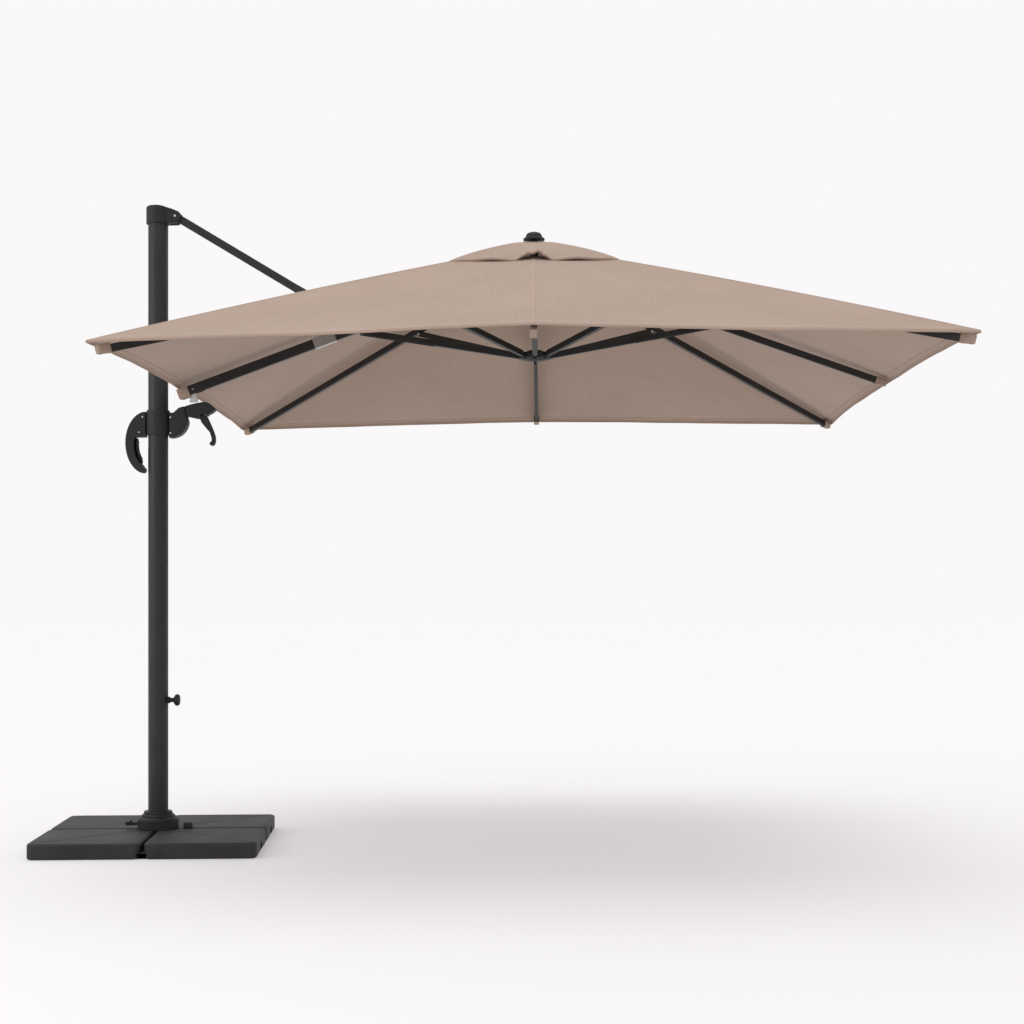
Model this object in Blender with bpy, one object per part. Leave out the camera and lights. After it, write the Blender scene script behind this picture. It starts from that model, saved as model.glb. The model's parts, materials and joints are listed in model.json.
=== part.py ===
"""Cantilever parasol: weighted cross base, swivelling mast, sliding carriage, hinged boom and an
eight-rib square canopy that folds down beside the mast.

Metres, +Z up. The origin is on the mast's axis, at the floor. The boom reaches out along +X.
Every sub-part is one object; a moving one is parented to an empty that sits on its joint.
"""

import math

import bmesh
import bpy
from mathutils import Matrix, Vector

# ---- driving dimensions -------------------------------------------------------------------
GAP = 0.0004                      # room left between pieces that touch

BASE_SIDE = 0.914                 # the four ballast tiles together, square
BASE_TURN = math.radians(4.1)     # the base stands a little turned from the boom
TILE_HEIGHT = 0.065
TILE_GAP = 0.016
TILE_CORNER = 0.030
ARM_WIDTH = 0.040
ARM_HEIGHT = 0.024
ARM_WALL = 0.003

HOUSING_RADIUS = 0.086
HOUSING_TOP = 0.117
RING_TOP = 0.140
MAST_RADIUS = 0.042
MAST_WALL = 0.003
MAST_TOP = 2.684
CAP_LOW, CAP_TOP = 2.632, 2.704
STAY_PIVOT = Vector((0.076, 0.0, 2.663))
KNOB_HEIGHT = 0.610

COLLAR_RADIUS = 0.050
COLLAR_LOW, COLLAR_TOP = 1.735, 1.840
TRIGGER_PIVOT = Vector((-0.0895, 0.0, 1.7150))
LEVER_PIVOT = Vector((0.196, 0.0, 1.806))

HUB = Vector((1.598, 0.0, 2.452))  # the crown's centre, level with the rib pivots
HEAD_LEAN = math.radians(0.55)     # the canopy rises this much away from the mast
CROWN_PIVOT = 0.045                # rib pivots from the crown's axis
MID_SLOPE = math.radians(19.85)    # ribs to the middle of each side
CORNER_SLOPE = math.radians(15.1)  # ribs to the corners
MID_REACH, CORNER_REACH = 1.475, 2.090
FOLDED = math.radians(86.5)        # every rib's slope when the canopy is closed

RIB_WIDTH, RIB_DEPTH, RIB_WALL = 0.018, 0.028, 0.0014
BOOM_WIDTH, BOOM_DEPTH, BOOM_WALL = 0.026, 0.040, 0.0025
BOOM_PIVOT_X = 0.150               # the boom's hinge on the carriage
BOOM_TAIL = 0.040                  # boom beyond its hinge
STAY_LUG_ALONG, STAY_LUG_RISE = 0.727, 0.038
STAY_DEPTH, STAY_WIDTH = 0.032, 0.022

RUNNER_DROP = 0.386                # runner pivots below the rib pivots
RUNNER_PIVOT = 0.055
STRUT_ALONG = 0.720                # strut pivot along a corner rib
RIB_STRUT_OFFSET = 0.020           # strut pivot below a rib's centre line
BOOM_STRUT_OFFSET = 0.026
STRUT_WIDTH, STRUT_DEPTH, STRUT_CHEEK = 0.026, 0.024, 0.003
STRUT_FORK = 0.330                 # open length of a strut's fork
STAY_FORK = 0.230
SLEEVE_WIDTH = 0.031
SLEEVE_SPAN = (0.548, 0.645)       # along the boom, from its hinge

CANOPY_HALF = 1.500
CANOPY_APEX = 0.083                # fabric above the rib pivots, at the crown
CORNER_DROP, MID_DROP = 0.533, 0.497
FABRIC = 0.002
VENT_HALF = 0.338
VENT_APEX, VENT_HEM = 0.100, -0.034
SLIT_LENGTH, SLIT_WIDTH = 0.160, 0.062  # the opening that the stay passes through
OPENING_HALF = 0.260               # the opening in the main fabric, under the vent cap


# ---- small helpers ------------------------------------------------------------------------
def material(name, colour, roughness, metallic=0.0):
    made = bpy.data.materials.new(name)
    made.use_nodes = True
    shader = made.node_tree.nodes["Principled BSDF"]
    shader.inputs["Base Color"].default_value = (*colour, 1.0)
    shader.inputs["Roughness"].default_value = roughness
    shader.inputs["Metallic"].default_value = metallic
    return made


def empty(name, matrix, parent=None):
    made = bpy.data.objects.new(name, None)
    bpy.context.scene.collection.objects.link(made)
    made.parent = parent
    made.matrix_parent_inverse = Matrix.Identity(4)
    made.matrix_basis = matrix
    return made


def place(name, shape, finish, parent=None, matrix=None, smooth=True):
    """Turns a bmesh into a named object under its parent."""
    bmesh.ops.recalc_face_normals(shape, faces=shape.faces)
    mesh = bpy.data.meshes.new(name)
    shape.to_mesh(mesh)
    shape.free()
    if smooth:
        mesh.shade_smooth()
        mesh.set_sharp_from_angle(angle=math.radians(35))
    made = bpy.data.objects.new(name, mesh)
    bpy.context.scene.collection.objects.link(made)
    mesh.materials.append(material(name, *finish))
    made.parent = parent
    made.matrix_basis = matrix or Matrix.Identity(4)
    return made


def bevel(target, width, segments=2, angle=40):
    made = target.modifiers.new("edges", "BEVEL")
    made.width = width
    made.segments = segments
    made.limit_method = "ANGLE"
    made.angle_limit = math.radians(angle)


def cut(target, shape, name="cutter", operation="DIFFERENCE"):
    """Takes a shape, given in the target's own space, out of the target."""
    bmesh.ops.recalc_face_normals(shape, faces=shape.faces)
    mesh = bpy.data.meshes.new(name)
    shape.to_mesh(mesh)
    shape.free()
    cutter = bpy.data.objects.new(target.name + "_" + name, mesh)
    bpy.context.scene.collection.objects.link(cutter)
    cutter.parent = target.parent
    cutter.matrix_basis = target.matrix_basis
    cutter.hide_render = True
    cutter.display_type = "WIRE"
    made = target.modifiers.new(name, "BOOLEAN")
    made.operation = operation
    made.solver = "EXACT"
    made.object = cutter


def box(low, high):
    shape = bmesh.new()
    bmesh.ops.create_cube(shape, size=1.0)
    middle = (Vector(low) + Vector(high)) / 2
    size = Vector(high) - Vector(low)
    for vertex in shape.verts:
        vertex.co = middle + Vector(a * b for a, b in zip(vertex.co, size))
    return shape


def prism(outline, low, high, along="Y"):
    """An outline swept from low to high: (x, z) points along Y, or (x, y) points along Z."""
    def point(a, b, c):
        return (a, c, b) if along == "Y" else (a, b, c)

    shape = bmesh.new()
    face = shape.faces.new([shape.verts.new(point(a, b, low)) for a, b in outline])
    swept = bmesh.ops.extrude_face_region(shape, geom=[face])["geom"]
    moved = [item for item in swept if isinstance(item, bmesh.types.BMVert)]
    shift = Vector(point(0.0, 0.0, high - low))
    bmesh.ops.translate(shape, verts=moved, vec=shift)
    return shape


def turned(profile, steps=32):
    """A (radius, z) profile turned about Z; one that starts and ends off the axis is a ring."""
    shape = bmesh.new()
    verts = [shape.verts.new((r, 0.0, z)) for r, z in profile]
    edges = [shape.edges.new(pair) for pair in zip(verts, verts[1:])]
    if profile[0][0] > 0.0:
        edges.append(shape.edges.new((verts[-1], verts[0])))
    bmesh.ops.spin(shape, geom=verts + edges, cent=(0, 0, 0), axis=(0, 0, 1),
                   angle=2 * math.pi, steps=steps, use_merge=True)
    bmesh.ops.remove_doubles(shape, verts=shape.verts, dist=1e-6)
    return shape


def rod(start, end, radius, steps=16):
    """A plain round bar between two points."""
    start, end = Vector(start), Vector(end)
    shape = bmesh.new()
    bmesh.ops.create_cone(shape, cap_ends=True, segments=steps, radius1=radius,
                          radius2=radius, depth=(end - start).length)
    turn = (end - start).to_track_quat("Z", "Y").to_matrix().to_4x4()
    bmesh.ops.transform(shape, matrix=Matrix.Translation((start + end) / 2) @ turn,
                        verts=shape.verts)
    return shape


def arc(centre, radii, start, end, steps):
    """Points on an ellipse from one angle to another, in degrees."""
    points = []
    for step in range(steps + 1):
        angle = math.radians(start + (end - start) * step / steps)
        points.append((centre[0] + radii[0] * math.cos(angle),
                       centre[1] + radii[1] * math.sin(angle)))
    return points


def turn_y(angle):
    return Matrix.Rotation(angle, 4, "Y")


def turn_z(angle):
    return Matrix.Rotation(angle, 4, "Z")


# ---- linkage: everything that the joints need ---------------------------------------------
HEAD = Matrix.Translation(HUB) @ turn_y(-HEAD_LEAN)
BOOM_REST = MID_SLOPE + HEAD_LEAN
BOOM_FOLDED = FOLDED + HEAD_LEAN
BOOM_CROWN = HEAD @ Vector((-CROWN_PIVOT, 0.0, 0.0))
BOOM_LENGTH = (BOOM_CROWN.x - BOOM_PIVOT_X) / math.cos(BOOM_REST)
BOOM_PIVOT = BOOM_CROWN - BOOM_LENGTH * Vector((math.cos(BOOM_REST), 0.0, math.sin(BOOM_REST)))


def stay_lug_at(pivot, slope):
    """Where the stay's lug is, for a boom hinged at pivot and standing at slope."""
    along = Vector((math.cos(slope), 0.0, math.sin(slope)))
    rise = Vector((-math.sin(slope), 0.0, math.cos(slope)))
    return pivot + STAY_LUG_ALONG * along + STAY_LUG_RISE * rise


STAY_LUG = stay_lug_at(BOOM_PIVOT, BOOM_REST)
STAY_LENGTH = (STAY_LUG - STAY_PIVOT).length


def carriage_travel():
    """How far the carriage slides down until the boom stands at its folded slope."""
    lug = stay_lug_at(BOOM_PIVOT, BOOM_FOLDED)
    across = lug.x - STAY_PIVOT.x
    return lug.z - (STAY_PIVOT.z - math.sqrt(STAY_LENGTH ** 2 - across ** 2))


def stay_slope(lug):
    return math.atan2(STAY_PIVOT.z - lug.z, lug.x - STAY_PIVOT.x)


CARRIAGE_TRAVEL = carriage_travel()
STAY_REST = stay_slope(STAY_LUG)
STAY_FOLDED = stay_slope(stay_lug_at(BOOM_PIVOT - Vector((0, 0, CARRIAGE_TRAVEL)), BOOM_FOLDED))


def strut_pivot(slope, along, offset):
    """A strut's pivot on a rib at a slope, as (radius, z) from the crown's centre."""
    return (CROWN_PIVOT + along * math.cos(slope) - offset * math.sin(slope),
            -along * math.sin(slope) - offset * math.cos(slope))


def strut_length(slope, along, offset):
    radius, z = strut_pivot(slope, along, offset)
    return math.hypot(radius - RUNNER_PIVOT, z + RUNNER_DROP)


def folded_runner(slope, along, offset):
    """The runner's height, from the crown's centre, when this rib is folded."""
    radius, z = strut_pivot(FOLDED, along, offset)
    length = strut_length(slope, along, offset)
    return z - math.sqrt(length ** 2 - (radius - RUNNER_PIVOT) ** 2)


RUNNER_FOLDED = folded_runner(CORNER_SLOPE, STRUT_ALONG, RIB_STRUT_OFFSET)
RUNNER_TRAVEL = -RUNNER_DROP - RUNNER_FOLDED


def matching_along(slope, offset):
    """The place of a strut's pivot on a rib that folds with the corner ribs."""
    near, far = 0.4, 1.0
    for _ in range(40):
        middle = (near + far) / 2
        if folded_runner(slope, middle, offset) > RUNNER_FOLDED:
            near = middle
        else:
            far = middle
    return middle


RIBS = {}
for number in range(8):
    is_corner = number % 2 == 1
    slope = CORNER_SLOPE if is_corner else MID_SLOPE
    offset = BOOM_STRUT_OFFSET if number == 4 else RIB_STRUT_OFFSET
    along = STRUT_ALONG if is_corner else matching_along(slope, offset)
    reach = CORNER_REACH if is_corner else MID_REACH
    rest = strut_pivot(slope, along, offset)
    folded = strut_pivot(FOLDED, along, offset)
    RIBS[number] = {
        "turn": number * math.pi / 4,
        "slope": slope,
        "along": along,
        "offset": offset,
        "length": (reach - CROWN_PIVOT) / math.cos(slope),
        "strut_length": strut_length(slope, along, offset),
        "strut_rest": math.atan2(rest[1] + RUNNER_DROP, rest[0] - RUNNER_PIVOT),
        "strut_folded": math.atan2(folded[1] - RUNNER_FOLDED, folded[0] - RUNNER_PIVOT),
    }

# ---- finishes: colour, roughness, metallic ------------------------------------------------
ANTHRACITE = ((0.040, 0.041, 0.042), 0.45, 0.2)
BLACK_PLASTIC = ((0.030, 0.031, 0.032), 0.55, 0.0)
BALLAST = ((0.045, 0.046, 0.047), 0.65, 0.0)
STEEL = ((0.45, 0.45, 0.46), 0.35, 0.9)
ALUMINIUM = ((0.52, 0.52, 0.53), 0.35, 0.8)
TAUPE = ((0.36, 0.29, 0.24), 0.9, 0.0)


# ---- base ---------------------------------------------------------------------------------
def cross_arm(name, turn, lap_low):
    """One flat tube of the cross; the two are notched into each other at the middle."""
    half = BASE_SIDE / 2 - 0.020
    arm = place(name, box((-half, -ARM_WIDTH / 2, 0), (half, ARM_WIDTH / 2, ARM_HEIGHT)),
                ANTHRACITE, BASE, turn_z(turn), smooth=False)
    lap = ARM_WIDTH / 2 + GAP
    middle = ARM_HEIGHT / 2
    low, high = (-0.01, middle + GAP / 2) if lap_low else (middle - GAP / 2, ARM_HEIGHT + 0.01)
    cut(arm, box((-lap, -ARM_WIDTH, low), (lap, ARM_WIDTH, high)), "half_lap")
    for side in (-1, 1):
        ends = sorted((side * (lap + 0.010), side * (half + 0.01)))
        cut(arm, box((ends[0], -ARM_WIDTH / 2 + ARM_WALL, ARM_WALL),
                     (ends[1], ARM_WIDTH / 2 - ARM_WALL, ARM_HEIGHT - ARM_WALL)), "bore")
    return arm


def base_plate():
    """Bolted over the cross; the fixed spigot that the mast turns on stands on it."""
    low = ARM_HEIGHT + GAP
    shape = turned([(0, low), (0.070, low), (0.070, low + 0.006), (0.030, low + 0.006),
                    (0.030, 0.230), (0.0, 0.230)])
    return place("base_spigot", shape, STEEL, BASE)


def housing():
    """The round swivel housing that covers the plate and the spigot's foot."""
    low = ARM_HEIGHT + 0.002
    inner = 0.0716
    shape = turned([(inner, low), (0.0745, low), (0.0745, TILE_HEIGHT + 0.001),
                    (HOUSING_RADIUS, TILE_HEIGHT + 0.001), (HOUSING_RADIUS, HOUSING_TOP - 0.012),
                    (HOUSING_RADIUS - 0.004, HOUSING_TOP - 0.004),
                    (HOUSING_RADIUS - 0.012, HOUSING_TOP), (0.0315, HOUSING_TOP),
                    (0.0315, HOUSING_TOP - 0.004), (inner, HOUSING_TOP - 0.004)], 48)
    made = place("swivel_housing", shape, BLACK_PLASTIC, BASE)
    cut(made, box((-0.100, -0.0135, 0.074), (-0.069, 0.0135, 0.1005)), "pedal_slot")
    return made


def base_bolts():
    """Four bolts through the spigot's flange, heads up."""
    low = ARM_HEIGHT + GAP + 0.006 + GAP
    for turn in range(4):
        spot = turn_z(turn * math.pi / 2) @ Vector((0.050, 0.0, 0.0))
        shape = rod(spot + Vector((0, 0, low)), spot + Vector((0, 0, low + 0.006)), 0.008, 6)
        place(f"base_bolt_{turn + 1}", shape, STEEL, BASE, smooth=False)


def rounded_square(half, radius, steps=4):
    points = []
    for turn in range(4):
        centre = turn_z(turn * math.pi / 2) @ Vector((half - radius, half - radius, 0))
        points += arc((centre.x, centre.y), (radius, radius), 90 * turn, 90 * turn + 90, steps)
    return points


def ballast_tile(name, side_x, side_y):
    """A filled tile: rounded edges, a grip notch, room for the cross and the housing."""
    half = (BASE_SIDE - TILE_GAP) / 4
    centre = Vector((side_x, side_y, 0)) * (half + TILE_GAP / 2)
    shape = prism(rounded_square(half, TILE_CORNER), 0.0, TILE_HEIGHT, "Z")
    tile = place(name, shape, BALLAST, BASE, Matrix.Translation(centre))
    bevel(tile, 0.010, 3, 50)
    inner = half + 0.02
    reach = ARM_WIDTH / 2 + 0.002 - TILE_GAP / 2
    top = ARM_HEIGHT + 0.002
    for axis, side in ((0, side_x), (1, side_y)):
        low, high = [-inner, -inner, -0.01], [inner, inner, top]
        if side > 0:
            high[axis] = -half + reach
        else:
            low[axis] = half - reach
        cut(tile, box(low, high), "arm_room")
    grip = sorted((side_x * (half - 0.014), side_x * inner))
    cut(tile, box((grip[0], -0.035, -0.01), (grip[1], 0.035, 0.038)), "grip")
    corner = -centre
    cut(tile, prism(arc((corner.x, corner.y), (0.078, 0.078), 0, 351, 39), -0.01,
                    TILE_HEIGHT + 0.01, "Z"), "housing_room")
    return tile


# ---- mast ---------------------------------------------------------------------------------
def swivel_ring():
    low = HOUSING_TOP + GAP
    inner = MAST_RADIUS + GAP
    shape = turned([(inner, low), (0.070, low), (0.070, low + 0.005), (0.066, low + 0.009),
                    (0.060, low + 0.009), (0.060, RING_TOP - 0.004), (0.057, RING_TOP),
                    (inner, RING_TOP)], 48)
    return place("swivel_ring", shape, BLACK_PLASTIC, MAST)


def mast_tube():
    low = HOUSING_TOP + GAP
    shape = turned([(MAST_RADIUS - MAST_WALL, low), (MAST_RADIUS, low), (MAST_RADIUS, MAST_TOP),
                    (MAST_RADIUS - MAST_WALL, MAST_TOP)], 48)
    return place("mast_tube", shape, ANTHRACITE, MAST)


def spigot_bush():
    """The plastic bush between the fixed spigot and the turning mast."""
    shape = turned([(0.0303, 0.122), (0.0385, 0.122), (0.0385, 0.226), (0.0303, 0.226)])
    return place("spigot_bush", shape, BLACK_PLASTIC, MAST)


def mast_cap():
    """The head on the mast: a round domed cap with a nose, slotted for the stay."""
    outline = [(-0.060, CAP_LOW), (0.084, CAP_LOW), (0.095, 2.645), (0.101, 2.661),
               (0.099, 2.673), (0.091, 2.681), (0.060, 2.6935), (0.030, 2.7015),
               (0.010, CAP_TOP), (-0.026, CAP_TOP), (-0.042, 2.7015), (-0.060, 2.6935)]
    cap = place("mast_cap", prism(outline, -0.060, 0.060), BLACK_PLASTIC, MAST)
    plan = arc((0, 0), (0.050, 0.050), 36, 324, 32) + [(0.060, -0.028), (0.110, -0.025),
                                                       (0.110, 0.025), (0.060, 0.028)]
    cut(cap, prism(plan, 2.60, 2.75, "Z"), "plan", "INTERSECT")
    cut(cap, turned([(0, 2.60), (MAST_RADIUS + GAP, 2.60), (MAST_RADIUS + GAP, MAST_TOP + GAP),
                     (0, MAST_TOP + GAP)], 48), "socket")
    slot = STAY_WIDTH / 2 + 0.001
    cut(cap, box((0.0502, -slot, 2.60), (0.12, slot, 2.6815)), "stay_slot")
    cut(cap, rod(STAY_PIVOT - Vector((0, 0.06, 0)), STAY_PIVOT + Vector((0, 0.06, 0)), 0.0055),
        "pin_hole")
    return cap


def pin(name, centre, half, radius, parent, finish=STEEL):
    shape = rod((centre.x, -half, centre.z), (centre.x, half, centre.z), radius)
    inverse = parent.matrix_world.inverted() if parent else Matrix.Identity(4)
    bmesh.ops.transform(shape, matrix=inverse, verts=shape.verts)
    return place(name, shape, finish, parent)


def knob_boss():
    """The threaded boss on the mast that the lock knob screws into."""
    start = MAST_RADIUS + GAP
    shape = rod((start, 0, KNOB_HEIGHT), (start + 0.008, 0, KNOB_HEIGHT), 0.014, 24)
    made = place("knob_boss", shape, BLACK_PLASTIC, MAST)
    cut(made, rod((start - 0.01, 0, KNOB_HEIGHT), (start + 0.02, 0, KNOB_HEIGHT), 0.0044),
        "thread")
    return made


def lock_knob():
    """A mushroom knob on its screw; the origin is on the screw's axis."""
    shape = turned([(0, 0.0425), (0.004, 0.0425), (0.004, 0.052), (0.0095, 0.052),
                    (0.0095, 0.066), (0.018, 0.070), (0.0245, 0.076), (0.0245, 0.086),
                    (0.020, 0.091), (0.010, 0.093), (0, 0.0935)], 24)
    return place("lock_knob", shape, BLACK_PLASTIC, KNOB, turn_y(math.pi / 2))


def stay_arm():
    """The long stay: a flat tube whose far end forks round the boom. Origin on its top pin."""
    half, slot = STAY_WIDTH / 2, SLEEVE_WIDTH / 2 + STRUT_CHEEK + 0.0015
    wide = slot + 0.005
    start = STAY_LENGTH - STAY_FORK
    shape = prism([(-0.012, -half), (start - 0.05, -half), (start, -wide),
                   (STAY_LENGTH + 0.012, -wide), (STAY_LENGTH + 0.012, -slot),
                   (start + 0.02, -slot), (start + 0.02, slot), (STAY_LENGTH + 0.012, slot),
                   (STAY_LENGTH + 0.012, wide), (start, wide), (start - 0.05, half),
                   (-0.012, half)], -STAY_DEPTH / 2, STAY_DEPTH / 2, "Z")
    made = place("stay_arm", shape, ANTHRACITE, STAY)
    hole = 0.0055
    for along in (0.0, STAY_LENGTH):
        cut(made, rod((along, -0.05, 0), (along, 0.05, 0), hole), "hole")
    cut(made, box((-0.03, -0.05, 0.012), (0.010, 0.05, 0.03)), "relief")
    return made


# ---- carriage -----------------------------------------------------------------------------
def collar():
    """The sleeve that slides on the mast, with a lip at each end."""
    inner = MAST_RADIUS + 0.0008
    lip = COLLAR_RADIUS - 0.0015
    shape = turned([(inner, COLLAR_LOW), (lip, COLLAR_LOW), (lip, COLLAR_LOW + 0.006),
                    (COLLAR_RADIUS, COLLAR_LOW + 0.007), (COLLAR_RADIUS, COLLAR_TOP - 0.007),
                    (lip, COLLAR_TOP - 0.006), (lip, COLLAR_TOP), (inner, COLLAR_TOP)], 48)
    return place("carriage_collar", shape, BLACK_PLASTIC, CARRIAGE)


def handle_outline():
    """The C-shaped handle beside the collar, as (x, z) points."""
    centre = (-0.047, 1.702)
    edge = -COLLAR_RADIUS - 0.0006
    outer = arc(centre, (0.089, 0.132), 93, 254, 20)
    hook = arc((-0.0655, 1.5865), (0.0135, 0.0135), -70, 62, 4)
    inner = arc((centre[0], 1.697), (0.053, 0.094), 248, 162, 10)
    return [(edge, 1.833)] + outer + hook + inner + [(edge, 1.7265)]


def handle_shell(name, low, high):
    made = place(name, prism(handle_outline(), low, high), BLACK_PLASTIC, CARRIAGE)
    bevel(made, 0.004, 2, 60)
    return made


def release_trigger():
    """The squeeze trigger inside the handle, hinged at its top end."""
    outline = (arc((-0.047, 1.697), (0.046, 0.084), 166, 238, 9)
               + arc((-0.047, 1.697), (0.036, 0.072), 236, 168, 9))
    shape = prism(outline, -0.009, 0.009)
    bmesh.ops.translate(shape, verts=shape.verts, vec=-TRIGGER_PIVOT)
    made = place("release_trigger", shape, BLACK_PLASTIC, TRIGGER)
    bevel(made, 0.0015, 1, 60)
    return made


def bracket():
    """The quadrant on the far side of the collar that carries the tilt head."""
    edge = COLLAR_RADIUS + 0.0006
    outline = ([(edge, 1.722)] + arc((0.055, 1.797), (0.075, 0.075), -80, -4, 12)
               + [(0.1245, 1.812), (0.1165, 1.8560), (0.092, 1.8500), (0.083, 1.842),
                  (0.069, 1.829), (edge, 1.829)])
    made = place("carriage_bracket", prism(outline, -0.026, 0.026), BLACK_PLASTIC, CARRIAGE)
    bevel(made, 0.003, 2, 50)
    return made


def tilt_head():
    """The beaked head: a lug on top holds the boom, the tilt lever hangs below."""
    lever_room = arc((LEVER_PIVOT.x, LEVER_PIVOT.z), (0.0175, 0.0175), 165, 25, 8)
    outline = ([(0.1258, 1.8128), (0.1355, 1.8120), (0.172, 1.8040)] + lever_room
               + [(0.2150, 1.8210), (0.2330, 1.8300), (0.2440, 1.8400), (0.2450, 1.8470),
                  (0.2270, 1.8620), (0.2135, 1.8720), (0.1980, 1.8745), (0.1840, 1.8730),
                  (0.1500, 1.8660), (0.1178, 1.8562)])
    head = place("tilt_head", prism(outline, -0.024, 0.024), BLACK_PLASTIC, CARRIAGE)
    bevel(head, 0.003, 2, 50)
    return head


def boom_lug():
    """The plate that rises from the tilt head into the boom and carries its hinge bolt."""
    low = 1.8735
    foot = (BOOM_PIVOT.x - 0.016, BOOM_PIVOT.x + 0.018)
    top = arc((BOOM_PIVOT.x, BOOM_PIVOT.z), (0.013, 0.013), 0, 180, 8)
    outline = [(foot[0], low), (foot[1], low + 0.002)] + top
    made = place("boom_lug", prism(outline, -0.008, 0.008), STEEL, CARRIAGE)
    cut(made, rod((BOOM_PIVOT.x, -0.05, BOOM_PIVOT.z), (BOOM_PIVOT.x, 0.05, BOOM_PIVOT.z),
                  0.0045), "hole")
    return made


def tilt_lever():
    """The pull lever under the head, hinged at its round upper end."""
    outline = (arc((LEVER_PIVOT.x, LEVER_PIVOT.z), (0.0160, 0.0160), 15, 195, 9)
               + [(0.186, 1.788), (0.2000, 1.7710), (0.2210, 1.7466), (0.2290, 1.7220),
                  (0.2285, 1.7090), (0.2205, 1.7030), (0.2200, 1.6950), (0.2320, 1.6880),
                  (0.2420, 1.6960), (0.2457, 1.7080), (0.2450, 1.7280), (0.2380, 1.7500),
                  (0.2270, 1.7760)])
    shape = prism(outline, -0.0105, 0.0105)
    bmesh.ops.translate(shape, verts=shape.verts, vec=-LEVER_PIVOT)
    made = place("tilt_lever", shape, BLACK_PLASTIC, LEVER)
    bevel(made, 0.002, 2, 60)
    return made


def carriage_screws():
    """Four screw heads in the handle's front shell and in the bracket."""
    spots = [(-0.062, 1.8110, 0.0220), (-0.077, 1.7460, 0.0220),
             (0.0575, 1.8090, 0.0260), (0.0575, 1.7420, 0.0260)]
    for number, (x, z, face) in enumerate(spots, 1):
        shape = rod((x, -face - GAP, z), (x, -face - 0.0018, z), 0.0035, 12)
        place(f"carriage_screw_{number}", shape, STEEL, CARRIAGE)


# ---- boom, crown, ribs and struts ---------------------------------------------------------
def hollow(shape, end, wall, depth):
    """Sinks a pocket of a wall's thickness into the end face at the largest or least x."""
    face = max(shape.faces, key=lambda item: item.calc_center_median().x * end)
    bmesh.ops.inset_region(shape, faces=[face], thickness=wall, use_even_offset=True)
    swept = bmesh.ops.extrude_discrete_faces(shape, faces=[face])["faces"]
    bmesh.ops.translate(shape, verts=swept[0].verts, vec=(-end * depth, 0, 0))


def lug_below(shape, along, half, depth):
    """Draws a stub out of the underside, between two cuts across the bar."""
    for spot in (along - half, along + half):
        bmesh.ops.bisect_plane(shape, geom=shape.verts[:] + shape.edges[:] + shape.faces[:],
                               plane_co=(spot, 0, 0), plane_no=(1, 0, 0))
    low = min(vertex.co.z for vertex in shape.verts)
    under = [face for face in shape.faces
             if abs(face.calc_center_median().z - low) < 1e-6
             and abs(face.calc_center_median().x - along) < half]
    swept = bmesh.ops.extrude_discrete_faces(shape, faces=under)["faces"]
    for face in swept:
        bmesh.ops.translate(shape, verts=face.verts, vec=(0, 0, -depth))


def rib(number):
    """A rib from its crown pivot, along local +X: tongue, square tube, lug for the strut."""
    data = RIBS[number]
    start = 0.026
    half, depth = RIB_WIDTH / 2, RIB_DEPTH / 2
    shape = box((start, -half, -depth), (data["length"], half, depth))
    hollow(shape, 1, RIB_WALL, data["length"] - start - 0.012)
    root = min(shape.faces, key=lambda item: item.calc_center_median().x)
    bmesh.ops.inset_region(shape, faces=[root], thickness=0.003, use_even_offset=True)
    for vertex in root.verts:
        vertex.co.z *= 0.0078 / (depth - 0.003)
    swept = bmesh.ops.extrude_discrete_faces(shape, faces=[root])["faces"]
    for vertex in swept[0].verts:
        vertex.co.x = -0.0060
        vertex.co.z *= 0.60
    lug_below(shape, data["along"], 0.010, data["offset"] - depth + 0.006)
    return place(f"rib_{number + 1}", shape, ANTHRACITE, RIB[number], smooth=False)


def boom():
    """The boom is also the rib that points back to the mast. Local +X runs to the crown."""
    half, depth = BOOM_WIDTH / 2, BOOM_DEPTH / 2
    tongue_start = BOOM_LENGTH - 0.030
    shape = box((-BOOM_TAIL, -half, -depth), (tongue_start, half, depth))
    hollow(shape, -1, BOOM_WALL, tongue_start + BOOM_TAIL - 0.015)
    root = max(shape.faces, key=lambda item: item.calc_center_median().x)
    bmesh.ops.inset_region(shape, faces=[root], thickness=0.007, use_even_offset=True)
    for vertex in root.verts:
        vertex.co.z *= 0.0078 / (depth - 0.007)
    swept = bmesh.ops.extrude_discrete_faces(shape, faces=[root])["faces"]
    for vertex in swept[0].verts:
        vertex.co.x = BOOM_LENGTH + 0.0060
        vertex.co.z *= 0.60
    data = RIBS[4]
    lug_below(shape, BOOM_LENGTH - data["along"], 0.010, data["offset"] - depth + 0.006)
    made = place("boom", shape, ANTHRACITE, BOOM, smooth=False)
    cut(made, box((-0.06, -0.0098, -0.03), (0.046, 0.0098, 0.0)), "lug_slot")
    cut(made, rod((0, -0.05, 0), (0, 0.05, 0), 0.0045), "hole")
    return made


def stay_clevis():
    """The upright lug on the boom that the stay's fork is pinned to."""
    low = BOOM_DEPTH / 2 + GAP
    outline = ([(STAY_LUG_ALONG + 0.045, low), (STAY_LUG_ALONG + 0.045, low + 0.003)]
               + arc((STAY_LUG_ALONG, STAY_LUG_RISE), (0.011, 0.011), 20, 160, 6)
               + [(STAY_LUG_ALONG - 0.045, low + 0.003), (STAY_LUG_ALONG - 0.045, low)])
    made = place("stay_clevis", prism(outline, -BOOM_WIDTH / 2, BOOM_WIDTH / 2), ANTHRACITE, BOOM)
    cut(made, rod((STAY_LUG_ALONG, -0.05, STAY_LUG_RISE), (STAY_LUG_ALONG, 0.05, STAY_LUG_RISE),
                  0.0055), "hole")
    return made


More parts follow.
